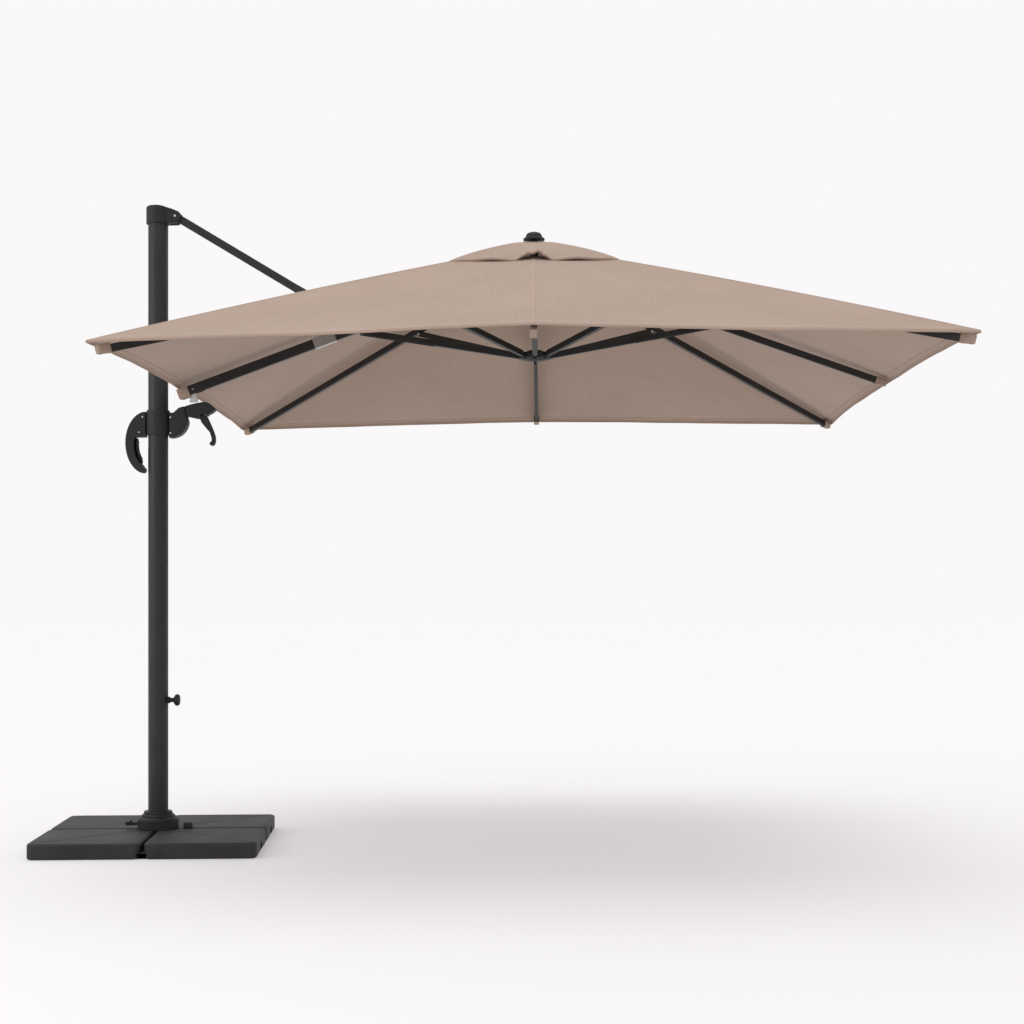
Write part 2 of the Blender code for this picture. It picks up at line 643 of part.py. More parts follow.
def boom_sleeve():
    """The bright sleeve clamped round the boom."""
    low, high = SLEEVE_SPAN
    half, depth = BOOM_WIDTH / 2 + GAP, BOOM_DEPTH / 2 + GAP
    wall = SLEEVE_WIDTH / 2 - half
    made = place("boom_sleeve", box((low, -SLEEVE_WIDTH / 2, -depth - wall),
                                    (high, SLEEVE_WIDTH / 2, depth + wall)), ALUMINIUM, BOOM,
                 smooth=False)
    cut(made, box((low - 0.01, -half, -depth), (high + 0.01, half, depth)), "bore")
    return made


def crown_hub():
    """The crown: eight slots for the rib tongues, and the neck that clamps the fabric."""
    shape = turned([(0, -0.014), (0.052, -0.014), (0.058, -0.008), (0.058, 0.010),
                    (0.050, 0.014), (0.026, 0.018), (0.018, 0.030), (0.018, 0.1035),
                    (0, 0.1035)], 32)
    crown = place("crown_hub", shape, BLACK_PLASTIC, CROWN)
    for number in range(8):
        slot = box((0.0335, -0.0068, -0.03), (0.08, 0.0068, 0.03))
        bmesh.ops.transform(slot, matrix=turn_z(number * math.pi / 4), verts=slot.verts)
        cut(crown, slot, f"slot_{number}")
    cut(crown, turned([(0, -0.05), (0.0160, -0.05), (0.0160, 0.080), (0, 0.080)], 24), "socket")
    return crown


def finial():
    """The domed knob that screws down on the vent cap."""
    low = 0.1041
    shape = turned([(0, low), (0.044, low), (0.046, low + 0.004), (0.044, low + 0.010),
                    (0.0355, low + 0.013), (0.0345, low + 0.021), (0.029, low + 0.030),
                    (0.017, low + 0.035), (0, low + 0.036)], 32)
    return place("finial", shape, BLACK_PLASTIC, CROWN)


def square_point(half, turn):
    """The point of a square of this half side, straight out at a turn."""
    reach = half / max(abs(math.cos(turn)), abs(math.sin(turn)))
    return Vector((reach * math.cos(turn), reach * math.sin(turn), 0.0))


def panel_sheet(inner_half, inner_z, outer_half, corner_z, mid_z, thickness):
    """Eight flat panels between two squares, given a thickness downwards."""
    shape = bmesh.new()
    rings = []
    for rise in (0.0, -thickness):
        inner, outer = [], []
        for number in range(8):
            turn = number * math.pi / 4
            edge = corner_z if number % 2 else mid_z
            a, b = square_point(inner_half, turn), square_point(outer_half, turn)
            inner.append(shape.verts.new((a.x, a.y, inner_z(a.length, number) + rise)))
            outer.append(shape.verts.new((b.x, b.y, edge + rise)))
        rings.append((inner, outer))
    (top_in, top_out), (low_in, low_out) = rings
    for k in range(8):
        n = (k + 1) % 8
        for quad in ((top_in[k], top_out[k], top_out[n], top_in[n]),
                     (low_in[n], low_out[n], low_out[k], low_in[k]),
                     (top_out[k], low_out[k], low_out[n], top_out[n]),
                     (top_in[n], low_in[n], low_in[k], top_in[k])):
            shape.faces.new(quad)
    return shape


def canopy():
    """The main fabric, from the opening under the vent cap to the hem."""
    def height(radius, number):
        reach = CANOPY_HALF * (math.sqrt(2) if number % 2 else 1.0)
        drop = CORNER_DROP if number % 2 else MID_DROP
        return CANOPY_APEX - (CANOPY_APEX + drop) * radius / reach

    shape = panel_sheet(OPENING_HALF, height, CANOPY_HALF, -CORNER_DROP, -MID_DROP, FABRIC)
    made = place("canopy", shape, TAUPE, CROWN, smooth=False)
    lug = HUB.x - STAY_LUG.x
    cut(made, box((-lug - SLIT_LENGTH / 2, -SLIT_WIDTH / 2, -0.5),
                  (-lug + SLIT_LENGTH / 2, SLIT_WIDTH / 2, 0.2)), "stay_slit")
    return made


def vent_cap():
    """The small square cap over the opening, clamped under the finial."""
    def height(radius, number):
        return VENT_APEX

    shape = panel_sheet(0.0190, height, VENT_HALF, VENT_HEM, VENT_HEM - 0.006, FABRIC)
    return place("vent_cap", shape, TAUPE, CROWN, smooth=False)


def runner_hub():
    """The runner: eight slots for the strut tongues. Its origin is level with their pivots."""
    shape = turned([(0, -0.014), (0.058, -0.014), (0.067, -0.008), (0.067, 0.010),
                    (0.058, 0.016), (0.030, 0.018), (0.030, 0.024), (0, 0.024)], 32)
    runner = place("runner_hub", shape, BLACK_PLASTIC, RUNNER)
    for number in range(8):
        slot = box((0.0435, -0.0058, -0.03), (0.09, 0.0058, 0.03))
        bmesh.ops.transform(slot, matrix=turn_z(number * math.pi / 4), verts=slot.verts)
        cut(runner, slot, f"slot_{number}")
    cut(runner, rod((0, 0, -0.05), (0, 0, 0.05), 0.0130, 24), "bore")
    return runner


def runner_post():
    """The centre post: stands in the runner and plugs up into the crown when open."""
    shape = turned([(0.0095, -0.012), (0.0125, -0.012), (0.0125, RUNNER_DROP + 0.070),
                    (0.0095, RUNNER_DROP + 0.070)], 24)
    return place("runner_post", shape, ALUMINIUM, RUNNER)


def runner_cap():
    """The domed plate under the runner, with a small nut at its middle."""
    shape = turned([(0, -0.0340), (0.004, -0.0340), (0.004, -0.0230), (0.018, -0.0215),
                    (0.034, -0.0180), (0.040, -0.0144), (0, -0.0144)], 32)
    return place("runner_cap", shape, BLACK_PLASTIC, RUNNER)


def strut(number):
    """A strut from its runner pivot, along local +X; its far end forks round the rib."""
    data = RIBS[number]
    slot = (SLEEVE_WIDTH if number == 4 else RIB_WIDTH) / 2 + 0.0007
    wide = slot + STRUT_CHEEK
    length = data["strut_length"]
    fork = length - STRUT_FORK
    tip = length + 0.010
    tongue, start = 0.0050, 0.0275
    outline = [(-0.0070, -tongue), (start, -tongue), (start, -STRUT_WIDTH / 2 + 0.003),
               (fork, -wide), (tip, -wide), (tip, -slot), (fork + 0.02, -slot),
               (fork + 0.02, slot), (tip, slot), (tip, wide), (fork, wide),
               (start, STRUT_WIDTH / 2 - 0.003), (start, tongue), (-0.0070, tongue)]
    shape = prism(outline, -STRUT_DEPTH / 2, STRUT_DEPTH / 2, "Z")
    for vertex in shape.verts:
        if vertex.co.x < start - 0.001:
            vertex.co.z *= 0.50
        elif abs(vertex.co.y) == tongue:
            vertex.co.z *= 0.50
    return place(f"strut_{number + 1}", shape, ANTHRACITE, STRUT[number], smooth=False)


def foot_pedal():
    """The pedal at the housing's side that frees the swivel. Origin on its hinge."""
    outline = [(0.0, 0.0045), (-0.012, 0.0060), (-0.028, 0.0070), (-0.030, 0.0170),
               (-0.034, 0.0170), (-0.036, 0.0100), (-0.052, 0.0100), (-0.056, 0.0060),
               (-0.056, -0.0060), (-0.050, -0.0080), (-0.020, -0.0070), (0.0, -0.0045)]
    made = place("foot_pedal", prism(outline, -0.012, 0.012), BLACK_PLASTIC, PEDAL)
    bevel(made, 0.0015, 1, 50)
    return made


# ---- build --------------------------------------------------------------------------------
for old in list(bpy.data.objects):
    bpy.data.objects.remove(old, do_unlink=True)

PEDAL_PIVOT = Vector((-0.0800, 0.0, 0.0865))

BASE = empty("base", turn_z(BASE_TURN))
PEDAL = empty("pedal_hinge", Matrix.Translation(PEDAL_PIVOT), BASE)
MAST = empty("mast_axis", Matrix.Identity(4))
KNOB = empty("knob_axis", Matrix.Translation((0, 0, KNOB_HEIGHT)), MAST)
STAY = empty("stay_hinge", Matrix.Translation(STAY_PIVOT) @ turn_y(STAY_REST), MAST)
CARRIAGE = empty("carriage", Matrix.Identity(4), MAST)
TRIGGER = empty("trigger_hinge", Matrix.Translation(TRIGGER_PIVOT), CARRIAGE)
LEVER = empty("lever_hinge", Matrix.Translation(LEVER_PIVOT), CARRIAGE)
BOOM = empty("boom_hinge", Matrix.Translation(BOOM_PIVOT) @ turn_y(-BOOM_REST), CARRIAGE)
CROWN = empty("crown", HEAD)
RUNNER = empty("runner", Matrix.Translation((0, 0, -RUNNER_DROP)), CROWN)
RIB, STRUT = {}, {}
for number, data in RIBS.items():
    turn = turn_z(data["turn"])
    out = Matrix.Translation((CROWN_PIVOT, 0, 0)) @ turn_y(data["slope"])
    RIB[number] = empty(f"rib_{number + 1}_hinge", turn @ out, CROWN)
    out = Matrix.Translation((RUNNER_PIVOT, 0, 0)) @ turn_y(-data["strut_rest"])
    STRUT[number] = empty(f"strut_{number + 1}_hinge", turn @ out, RUNNER)
bpy.context.view_layer.update()

cross_arm("cross_arm_long", 0.0, False)
cross_arm("cross_arm_wide", math.pi / 2, True)
base_plate()
base_bolts()
housing()
for name, side_x, side_y in (("tile_front_left", -1, -1), ("tile_front_right", 1, -1),
                             ("tile_back_left", -1, 1), ("tile_back_right", 1, 1)):
    ballast_tile(name, side_x, side_y)
foot_pedal()
swivel_ring()
mast_tube()
spigot_bush()
mast_cap()
pin("stay_pin", STAY_PIVOT, 0.0262, 0.0051, MAST)
knob_boss()
lock_knob()
stay_arm()
collar()
handle_shell("handle_front_shell", -0.022, -GAP / 2)
handle_shell("handle_back_shell", GAP / 2, 0.022)
release_trigger()
bracket()
tilt_head()
boom_lug()
pin("boom_bolt", BOOM_PIVOT, 0.0160, 0.0041, CARRIAGE)
tilt_lever()
carriage_screws()
boom()
stay_clevis()
boom_sleeve()
crown_hub()
finial()
canopy()
vent_cap()
runner_hub()
runner_post()
runner_cap()
for number in RIBS:
    if number != 4:
        rib(number)
    strut(number)
bpy.context.view_layer.update()
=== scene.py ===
# %% [markdown]
# # A cantilever parasol, from its engineering model to its finished look
#
# The frame holds every hard part of the parasol at its true place: mast, carriage, boom, crown,
# ribs, struts, base and ballast tiles. This lesson dresses that frame. It stitches the cloth
# roof, adds the small fittings, and gives every part the finish that its maker would.
# All lengths are in metres, +Z is up, and the mast stands on the origin.

# %% Load the frame
import json
import math

import bmesh
import bpy
from mathutils import Matrix, Vector, noise


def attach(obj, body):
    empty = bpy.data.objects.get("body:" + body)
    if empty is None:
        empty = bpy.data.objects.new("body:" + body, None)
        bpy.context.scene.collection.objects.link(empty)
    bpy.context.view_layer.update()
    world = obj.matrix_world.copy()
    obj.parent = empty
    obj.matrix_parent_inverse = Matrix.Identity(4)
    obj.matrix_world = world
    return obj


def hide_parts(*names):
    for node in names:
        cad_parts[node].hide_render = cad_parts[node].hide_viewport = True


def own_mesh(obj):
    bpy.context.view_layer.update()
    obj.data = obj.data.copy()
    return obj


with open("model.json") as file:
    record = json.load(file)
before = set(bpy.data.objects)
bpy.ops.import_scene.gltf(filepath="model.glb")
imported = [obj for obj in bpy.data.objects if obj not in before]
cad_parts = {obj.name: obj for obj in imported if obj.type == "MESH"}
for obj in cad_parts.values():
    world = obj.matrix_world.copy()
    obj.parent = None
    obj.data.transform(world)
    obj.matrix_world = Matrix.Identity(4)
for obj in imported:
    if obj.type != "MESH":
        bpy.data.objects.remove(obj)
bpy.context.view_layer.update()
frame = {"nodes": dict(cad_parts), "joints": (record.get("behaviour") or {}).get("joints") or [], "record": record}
nodes, record = frame["nodes"], frame["record"]

# %% [markdown]
# ## Camera
# A long lens, standing low and level, a little to the right of the mast. The lens is shifted
# up and not tilted, as an architect's would be, so that the mast stays upright in the picture.

# %% The camera
camera = bpy.data.cameras.new("camera")
camera.lens, camera.sensor_width = 60.9, 36.0
camera.shift_y = 0.082
camera.clip_end = 200.0
viewer = bpy.data.objects.new("camera", camera)
viewer.location = (1.632, -7.336, 1.052)
viewer.rotation_euler = (math.radians(90.0), 0.0, math.radians(1.0))
bpy.context.scene.collection.objects.link(viewer)
bpy.context.scene.camera = viewer
print("camera", tuple(viewer.location), camera.lens, "mm")

# %% [markdown]
# ## Stage and light
# The floor is a wide pale sheet, lit evenly from a pale sky and glowing a little itself, as a
# backlit studio floor does, so that it melts into the background. A very soft sun straight
# above draws the pool of shade under the roof, and a broad lamp at the left gives the round
# tubes a bright side and a dark one.

# %% Floor, sky and lamps
BACKDROP = (0.956, 0.939, 0.947, 1.0)
FLOOR_COLOUR = (0.536, 0.529, 0.532, 1.0)
FLOOR_GLOW = 0.30
FLOOR_HALF, FLOOR_DROP = 60.0, 0.0005

bpy.context.scene.view_settings.view_transform = "Standard"
sky = bpy.data.worlds.new("pale_studio")
sky.use_nodes = True
sky.node_tree.nodes["Background"].inputs["Color"].default_value = BACKDROP
sky.node_tree.nodes["Background"].inputs["Strength"].default_value = 1.0
bpy.context.scene.world = sky

bpy.ops.mesh.primitive_plane_add(size=2 * FLOOR_HALF, location=(0, 0, -FLOOR_DROP))
floor = bpy.context.object
floor.name = "studio_floor"
paint = bpy.data.materials.new("pale_floor")
paint.use_nodes = True
shader = paint.node_tree.nodes["Principled BSDF"]
shader.inputs["Base Color"].default_value = FLOOR_COLOUR
shader.inputs["Roughness"].default_value = 1.0
shader.inputs["Emission Color"].default_value = BACKDROP
shader.inputs["Emission Strength"].default_value = FLOOR_GLOW
shader.inputs["Specular IOR Level"].default_value = 0.0
floor.data.materials.append(paint)


def lamp(name, kind, place, aim, energy, size):
    """A soft lamp at a place, turned to a point; size is metres, or a sun's angle."""
    light = bpy.data.lights.new(name, kind)
    light.energy = energy
    if kind == "SUN":
        light.angle = size
    else:
        light.shape, light.size = "DISK", size
    made = bpy.data.objects.new(name, light)
    made.location = place
    made.rotation_mode = "QUATERNION"
    made.rotation_quaternion = (Vector(aim) - Vector(place)).to_track_quat("-Z", "Y")
    bpy.context.scene.collection.objects.link(made)
    return made


lamp("overhead_sun", "SUN", (1.6, -0.2, 9.0), (1.6, 0.0, 0.0), 0.95, math.radians(48))
lamp("left_softbox", "AREA", (-4.5, -3.0, 2.6), (0.3, 0.0, 1.6), 70.0, 2.2)
print("stage and", len(bpy.data.lights), "lamps")

# %% [markdown]
# ## Finishes
# Each finish is one Principled shader. Numbers that are the same all over are typed into the
# shader itself. What varies is drawn by a few noise textures in the part's own coordinates:
# a slow one for the tone, a fine one for the grain under the light, and the Bevel node, whose
# normal differs from the true one only near an edge, which is where paint rubs thin.


# %% A helper for the hard finishes
def joined(tree, kind, **inputs):
    """A node of a kind; an input is a number, or another node's output socket."""
    made = tree.nodes.new(kind)
    for name, value in inputs.items():
        socket = made.inputs[int(name[1:])] if name[1:].isdigit() else made.inputs[name]
        if isinstance(value, bpy.types.NodeSocket):
            tree.links.new(value, socket)
        else:
            socket.default_value = value
    return made


def ramp(tree, factor, low, high, dark, light):
    """Maps a factor between two stops to two colours."""
    made = joined(tree, "ShaderNodeValToRGB", _0=factor)
    made.color_ramp.elements[0].position, made.color_ramp.elements[1].position = low, high
    made.color_ramp.elements[0].color = (*dark, 1.0)
    made.color_ramp.elements[1].color = (*light, 1.0)
    return made


def hard_finish(name, dark, light, worn, rough, grain, depth, metal=0.0, specular=0.5,
                streak=(1.0, 1.0, 1.0), edge=0.0015):
    """Tone from dark to light, a worn edge colour, roughness low to high, grain per metre."""
    made = bpy.data.materials.new(name)
    made.use_nodes = True
    tree = made.node_tree
    shader = tree.nodes["Principled BSDF"]
    shader.inputs["Metallic"].default_value = metal
    shader.inputs["Specular IOR Level"].default_value = specular
    place = joined(tree, "ShaderNodeTexCoord").outputs["Object"]
    drawn = joined(tree, "ShaderNodeMapping", Vector=place)
    drawn.inputs["Scale"].default_value = streak
    drawn = drawn.outputs[0]
    slow = joined(tree, "ShaderNodeTexNoise", Vector=drawn, Scale=7.0, Detail=5.0)
    fine = joined(tree, "ShaderNodeTexNoise", Vector=drawn, Scale=grain, Detail=2.0)
    tone = ramp(tree, slow.outputs[0], 0.35, 0.65, dark, light)
    rounded = joined(tree, "ShaderNodeBevel", Radius=edge)
    rounded.samples = 4
    true = joined(tree, "ShaderNodeNewGeometry").outputs["Normal"]
    turn = joined(tree, "ShaderNodeVectorMath", _0=rounded.outputs[0], _1=true)
    turn.operation = "DOT_PRODUCT"
    rubbed = joined(tree, "ShaderNodeMapRange", _0=turn.outputs["Value"])
    rubbed.inputs["From Min"].default_value, rubbed.inputs["From Max"].default_value = 0.995, 0.90
    patchy = joined(tree, "ShaderNodeMath", _0=rubbed.outputs[0], _1=slow.outputs[0])
    patchy.operation = "MULTIPLY"
    colour = joined(tree, "ShaderNodeMix", Factor=patchy.outputs[0])
    colour.data_type = "RGBA"
    tree.links.new(tone.outputs[0], colour.inputs[6])
    colour.inputs[7].default_value = (*worn, 1.0)
    tree.links.new(colour.outputs[2], shader.inputs["Base Color"])
    sheen = joined(tree, "ShaderNodeMapRange", _0=slow.outputs[0])
    sheen.inputs["From Min"].default_value, sheen.inputs["From Max"].default_value = 0.3, 0.7
    sheen.inputs["To Min"].default_value, sheen.inputs["To Max"].default_value = rough
    tree.links.new(sheen.outputs[0], shader.inputs["Roughness"])
    bump = joined(tree, "ShaderNodeBump", Height=fine.outputs[0], Normal=rounded.outputs[0])
    bump.inputs["Strength"].default_value = 0.35
    bump.inputs["Distance"].default_value = depth
    tree.links.new(bump.outputs[0], shader.inputs["Normal"])
    return made


# %% [markdown]
# ## Five hard finishes
# The tubes are powder coated, the fittings and the tiles are moulded plastic, and a few parts
# are bare metal. Each tone differs a little over a part, and each edge is a little paler. The
# drawn aluminium has its grain stretched along the tube, as the die leaves it.

# %% The hard finishes
FINISHES = {
    "powder_coat": hard_finish("powder_coat_anthracite", (0.015, 0.015, 0.0154),
                               (0.021, 0.021, 0.0213), (0.07, 0.07, 0.07), (0.42, 0.52),
                               900.0, 0.0004, specular=0.32),
    "moulded_plastic": hard_finish("moulded_black_plastic", (0.0105, 0.0105, 0.0108),
                                   (0.0155, 0.0155, 0.0158), (0.05, 0.05, 0.05), (0.48, 0.60),
                                   1500.0, 0.0003, specular=0.30),
    "ballast": hard_finish("ballast_tile_plastic", (0.013, 0.013, 0.0131),
                           (0.025, 0.025, 0.0252), (0.07, 0.07, 0.07), (0.58, 0.72),
                           700.0, 0.0006, specular=0.32, edge=0.003),
    "steel": hard_finish("zinc_plated_steel", (0.50, 0.50, 0.50), (0.62, 0.62, 0.61),
                         (0.75, 0.75, 0.74), (0.25, 0.38), 600.0, 0.0001, metal=1.0,
                         edge=0.0006),
    "bare_aluminium": hard_finish("drawn_aluminium", (0.38, 0.38, 0.385), (0.50, 0.50, 0.50),
                                  (0.65, 0.65, 0.65), (0.30, 0.42), 260.0, 0.0001, metal=1.0,
                                  streak=(1.0, 1.0, 0.05), edge=0.0006),
}
print("hard finishes:", ", ".join(FINISHES))

# %% [markdown]
# ## Dressing the engineering parts
# The frame's parts have true sizes but knife-sharp edges. A Weld modifier joins their loose
# triangles, a narrow Bevel rounds the edges as a mould or a file would, and a Weighted Normal
# keeps the flat faces flat. The modifiers stay live, so the frame's own meshes aren't touched.

# %% Finish and soften every hard part
SOFT_SLOT = "fabric"
SCREW_ROUND, PART_ROUND = 0.0006, 0.0011
MERGE_WITHIN = 0.00002
slot_of = {row["node"]: row["material_slot"] for row in record["subparts"]}
for name, part in nodes.items():
    if slot_of[name] == SOFT_SLOT:
        continue
    part.data.materials.clear()
    part.data.materials.append(FINISHES[slot_of[name]])
    weld = part.modifiers.new("join_triangles", "WELD")
    weld.merge_threshold = MERGE_WITHIN
    soften = part.modifiers.new("soft_edges", "BEVEL")
    soften.limit_method, soften.angle_limit = "ANGLE", math.radians(38)
    soften.width = SCREW_ROUND if "screw" in name or "bolt" in name else PART_ROUND
    soften.segments = 2
    even = part.modifiers.new("even_shading", "WEIGHTED_NORMAL")
    even.keep_sharp = True
print("dressed", sum(slot != SOFT_SLOT for slot in slot_of.values()), "hard parts")

# %% [markdown]
# ## The roof's measurements
# The roof hangs from the crown: eight arms, counted from the side away from the mast, 45
# degrees apart. Odd ones run to the middle of a side, even ones to a corner. The boom is the
# fifth. The crown's own frame, with its slight lean, comes from where the arms are hinged.

# %% Where the crown and the arms are
pivot = {row["child"]: Vector(row["pos_m"]) for row in frame["joints"] if "pos_m" in row}
far_hinge = pivot["rib_1"]
near_hinge = pivot["crown"]
across = (far_hinge - near_hinge).normalized()
middle = (far_hinge + near_hinge) / 2
up = across.cross(Vector((0.0, 1.0, 0.0)))
CROWN = Matrix.Translation(middle) @ Matrix((across, (0.0, 1.0, 0.0), up)).transposed().to_4x4()
ARM_BODY = {k: "boom" if k == 4 else f"rib_{k + 1}" for k in range(8)}
print("crown at", [round(v, 4) for v in middle], "leans",
      round(math.degrees(math.asin(across.z)), 2), "degrees")

# %% [markdown]
# ## The roof's shape
# The roof is one stretched skin. Along each arm it runs almost straight from the crown to the
# hem, a little bowed up; between two arms it is pulled hollow, and the hem swings inwards
# between the arms' ends, as any cloth does that is held only at its points. One function gives
# that surface for any direction and any distance, and everything sewn to the roof asks it.

# %% The roof as a formula
ROOF_HALF = 1.500
ROOF_PEAK = 0.083
HEM_HEIGHT = (-0.497, -0.530, -0.500, -0.524, -0.490, -0.522, -0.480, -0.523)
EXTRA_REACH = (0.0, 0.0, 0.0, 0.004, 0.020, 0.012, 0.0, 0.0)
BOW_AT_MIDDLE, BOW_AT_CORNER = 0.004, 0.012
HOLLOW = 0.014
HEM_SWING = 0.020
RIPPLES = ((0.0035, 2.1, 3.7), (0.0014, 6.3, 9.1))  # each: height, waves per metre, layer
PUCKER_HIGH, PUCKER_REACH, PUCKER_FOLDS = 0.0045, 0.16, 13
PUCKER_START, RIPPLE_RISE = 0.05, 2.2


def arm_line(k, t, reach, peak, end, bow):
    """A point over arm k, at a share t of the way from the crown's axis to the hem."""
    turn = k * math.pi / 4
    reach *= math.sqrt(2) if k % 2 else 1.0
    rise = peak + (end - peak) * t + bow * 4 * t * (1 - t)
    return Vector((reach * t * math.cos(turn), reach * t * math.sin(turn), rise))


def roof_line(k, t):
    """The roof's own line over arm k; the arms don't all end at quite the same height."""
    bow = BOW_AT_CORNER if k % 2 else BOW_AT_MIDDLE
    return arm_line(k, t, ROOF_HALF + EXTRA_REACH[k], ROOF_PEAK, HEM_HEIGHT[k], bow)


def ripple(x, y):
    """The small waves that a sewn, handled cloth keeps: long ones and, on them, short ones."""
    return sum(high * noise.noise(Vector((per_metre * x, per_metre * y, layer)))
               for high, per_metre, layer in RIPPLES)


def pucker(spot):
    """Little folds that fan out from the point where a corner is pulled tight."""
    corner = Vector((math.copysign(ROOF_HALF, spot.x), math.copysign(ROOF_HALF, spot.y)))
    away = Vector((spot.x, spot.y)) - corner
    turn = math.atan2(away.y, away.x)
    fade = math.exp(-away.length / PUCKER_REACH)
    return PUCKER_HIGH * fade * math.sin(PUCKER_FOLDS * turn) * min(1, away.length / PUCKER_START)


def roof(a, t):
    """The roof's surface at arm number a (a fraction lies between two arms), share t."""
    k = math.floor(a)
    w = a - k
    spot = roof_line(k % 8, t).lerp(roof_line((k + 1) % 8, t), w)
    between = 4 * w * (1 - w)
    spot.xy *= 1 - HEM_SWING / ROOF_HALF * between * t ** 3
    loose = min(1.0, between * RIPPLE_RISE)
    spot.z -= HOLLOW * between * math.sin(math.pi * min(1.0, t ** 1.3))
    spot.z += loose * ripple(spot.x, spot.y) * min(1.0, t * 3) + pucker(spot) * loose
    return spot


print("roof: peak", round((CROWN @ roof(0.0, 0.0)).z, 3), "front hem",
      round((CROWN @ roof(6.0, 1.0)).z, 3))

# %% [markdown]
# ## Cloth
# The cloth is a solution-dyed polyester: a plain weave, matt, with a faint sheen at a low
# angle. The pattern is drawn in UV coordinates that are laid out in metres along the threads, so
# that it stays on the cloth. Two sine waves make the threads, a long thin noise makes the uneven
# ones, and a slow noise makes the tone drift as it does on a large panel. A dashed line of
# lighter, raised thread is the stitching along the hem and down each seam.


# %% The woven finish
STITCH_PITCH, STITCH_LONG, STITCH_HALF_WIDE, STITCH_PALER = 0.0042, 0.0031, 0.0005, 1.25
SLUB_STRETCHES = ((240.0, 6.0, 1.0), (6.0, 240.0, 1.0))
SLUB_SHARE, DRIFT_SHARE = 0.30, 0.40


def woven(name, dark, light, pitch, stitch=None):
    """A plain weave, threads a pitch apart; stitch is (0 or 1, place): a row at |u| or at v."""
    made = bpy.data.materials.new(name)
    made.use_nodes = True
    tree = made.node_tree
    shader = tree.nodes["Principled BSDF"]
    shader.inputs["Roughness"].default_value = 0.88
    shader.inputs["Specular IOR Level"].default_value = 0.25
    shader.inputs["Sheen Weight"].default_value = 0.12
    shader.inputs["Sheen Roughness"].default_value = 0.5
    place = joined(tree, "ShaderNodeUVMap").outputs[0]
    apart = joined(tree, "ShaderNodeSeparateXYZ", _0=place)

    def thread(coordinate):
        turned = joined(tree, "ShaderNodeMath", _0=coordinate, _1=2 * math.pi / pitch)
        turned.operation = "MULTIPLY"
        wave = joined(tree, "ShaderNodeMath", _0=turned.outputs[0])
        wave.operation = "SINE"
        return wave.outputs[0]

    over = joined(tree, "ShaderNodeMath", _0=thread(apart.outputs[0]), _1=thread(apart.outputs[1]))
    over.operation = "MULTIPLY"
    drift = joined(tree, "ShaderNodeTexNoise", Vector=place, Scale=1.6, Detail=4.0)
    pulled = []
    for stretch in SLUB_STRETCHES:
        lined = joined(tree, "ShaderNodeMapping", Vector=place)
        lined.inputs["Scale"].default_value = stretch
        pulled.append(joined(tree, "ShaderNodeTexNoise", Vector=lined.outputs[0], Scale=1.0,
                             Detail=2.0))
    slub = joined(tree, "ShaderNodeMath", _0=pulled[0].outputs[0], _1=pulled[1].outputs[0])
    slub.operation = "ADD"
    half = joined(tree, "ShaderNodeMath", _0=slub.outputs[0], _1=SLUB_SHARE)
    half.operation = "MULTIPLY"
    mixed = joined(tree, "ShaderNodeMath", _0=drift.outputs[0], _1=DRIFT_SHARE)
    mixed.operation = "MULTIPLY"
    total = joined(tree, "ShaderNodeMath", _0=half.outputs[0], _1=mixed.outputs[0])
    total.operation = "ADD"
    tone = ramp(tree, total.outputs[0], 0.40, 0.62, dark, light).outputs[0]
    rise = joined(tree, "ShaderNodeMath", _0=over.outputs[0], _1=slub.outputs[0])
    rise.operation = "ADD"
    if stitch:
        axis, at = stitch
        across = joined(tree, "ShaderNodeMath", _0=apart.outputs[axis])
        across.operation = "ABSOLUTE"
        row = joined(tree, "ShaderNodeMath", _0=across.outputs[0], _1=at,
                     _2=STITCH_HALF_WIDE)
        row.operation = "COMPARE"
        length = joined(tree, "ShaderNodeMath", _0=apart.outputs[1 - axis],
                        _1=STITCH_PITCH)
        length.operation = "FLOORED_MODULO"
        dash = joined(tree, "ShaderNodeMath", _0=length.outputs[0], _1=STITCH_LONG)
        dash.operation = "LESS_THAN"
        sewn = joined(tree, "ShaderNodeMath", _0=row.outputs[0], _1=dash.outputs[0])
        sewn.operation = "MULTIPLY"
        thread_tone = joined(tree, "ShaderNodeMix", Factor=sewn.outputs[0])
        thread_tone.data_type = "RGBA"
        tree.links.new(tone, thread_tone.inputs[6])
        thread_tone.inputs[7].default_value = (*(STITCH_PALER * value for value in light),
                                                1.0)
        tone = thread_tone.outputs[2]
        rise = joined(tree, "ShaderNodeMath", _0=sewn.outputs[0], _1=3.0, _2=rise.outputs[0])
        rise.operation = "MULTIPLY_ADD"
    tree.links.new(tone, shader.inputs["Base Color"])
    bump = joined(tree, "ShaderNodeBump", Height=rise.outputs[0])
    bump.inputs["Strength"].default_value = 0.25
    bump.inputs["Distance"].default_value = 0.0003
    tree.links.new(bump.outputs[0], shader.inputs["Normal"])
    return made


# %% [markdown]
# ## Three cloths
# The roof's cloth has its stitching along the hem, a seam's has a row near each side, and the
# webbing of pockets and bindings is closer woven, a little darker, and has none.

# %% The cloths
HEM_STITCH, SEAM_STITCH = 1.476, 0.0046
CLOTH_PITCH, TAPE_PITCH = 0.0016, 0.0011
DARK, LIGHT = (0.322, 0.233, 0.180), (0.380, 0.280, 0.219)
TAPE_DARK, TAPE_LIGHT = (0.288, 0.207, 0.160), (0.346, 0.254, 0.198)
CLOTH = woven("taupe_canopy_cloth", DARK, LIGHT, CLOTH_PITCH, (1, HEM_STITCH))
SEAM = woven("taupe_sewn_seam", DARK, LIGHT, CLOTH_PITCH, (0, SEAM_STITCH))
TAPE = woven("taupe_webbing", TAPE_DARK, TAPE_LIGHT, TAPE_PITCH)
print("cloth finishes:", CLOTH.name, SEAM.name, TAPE.name)

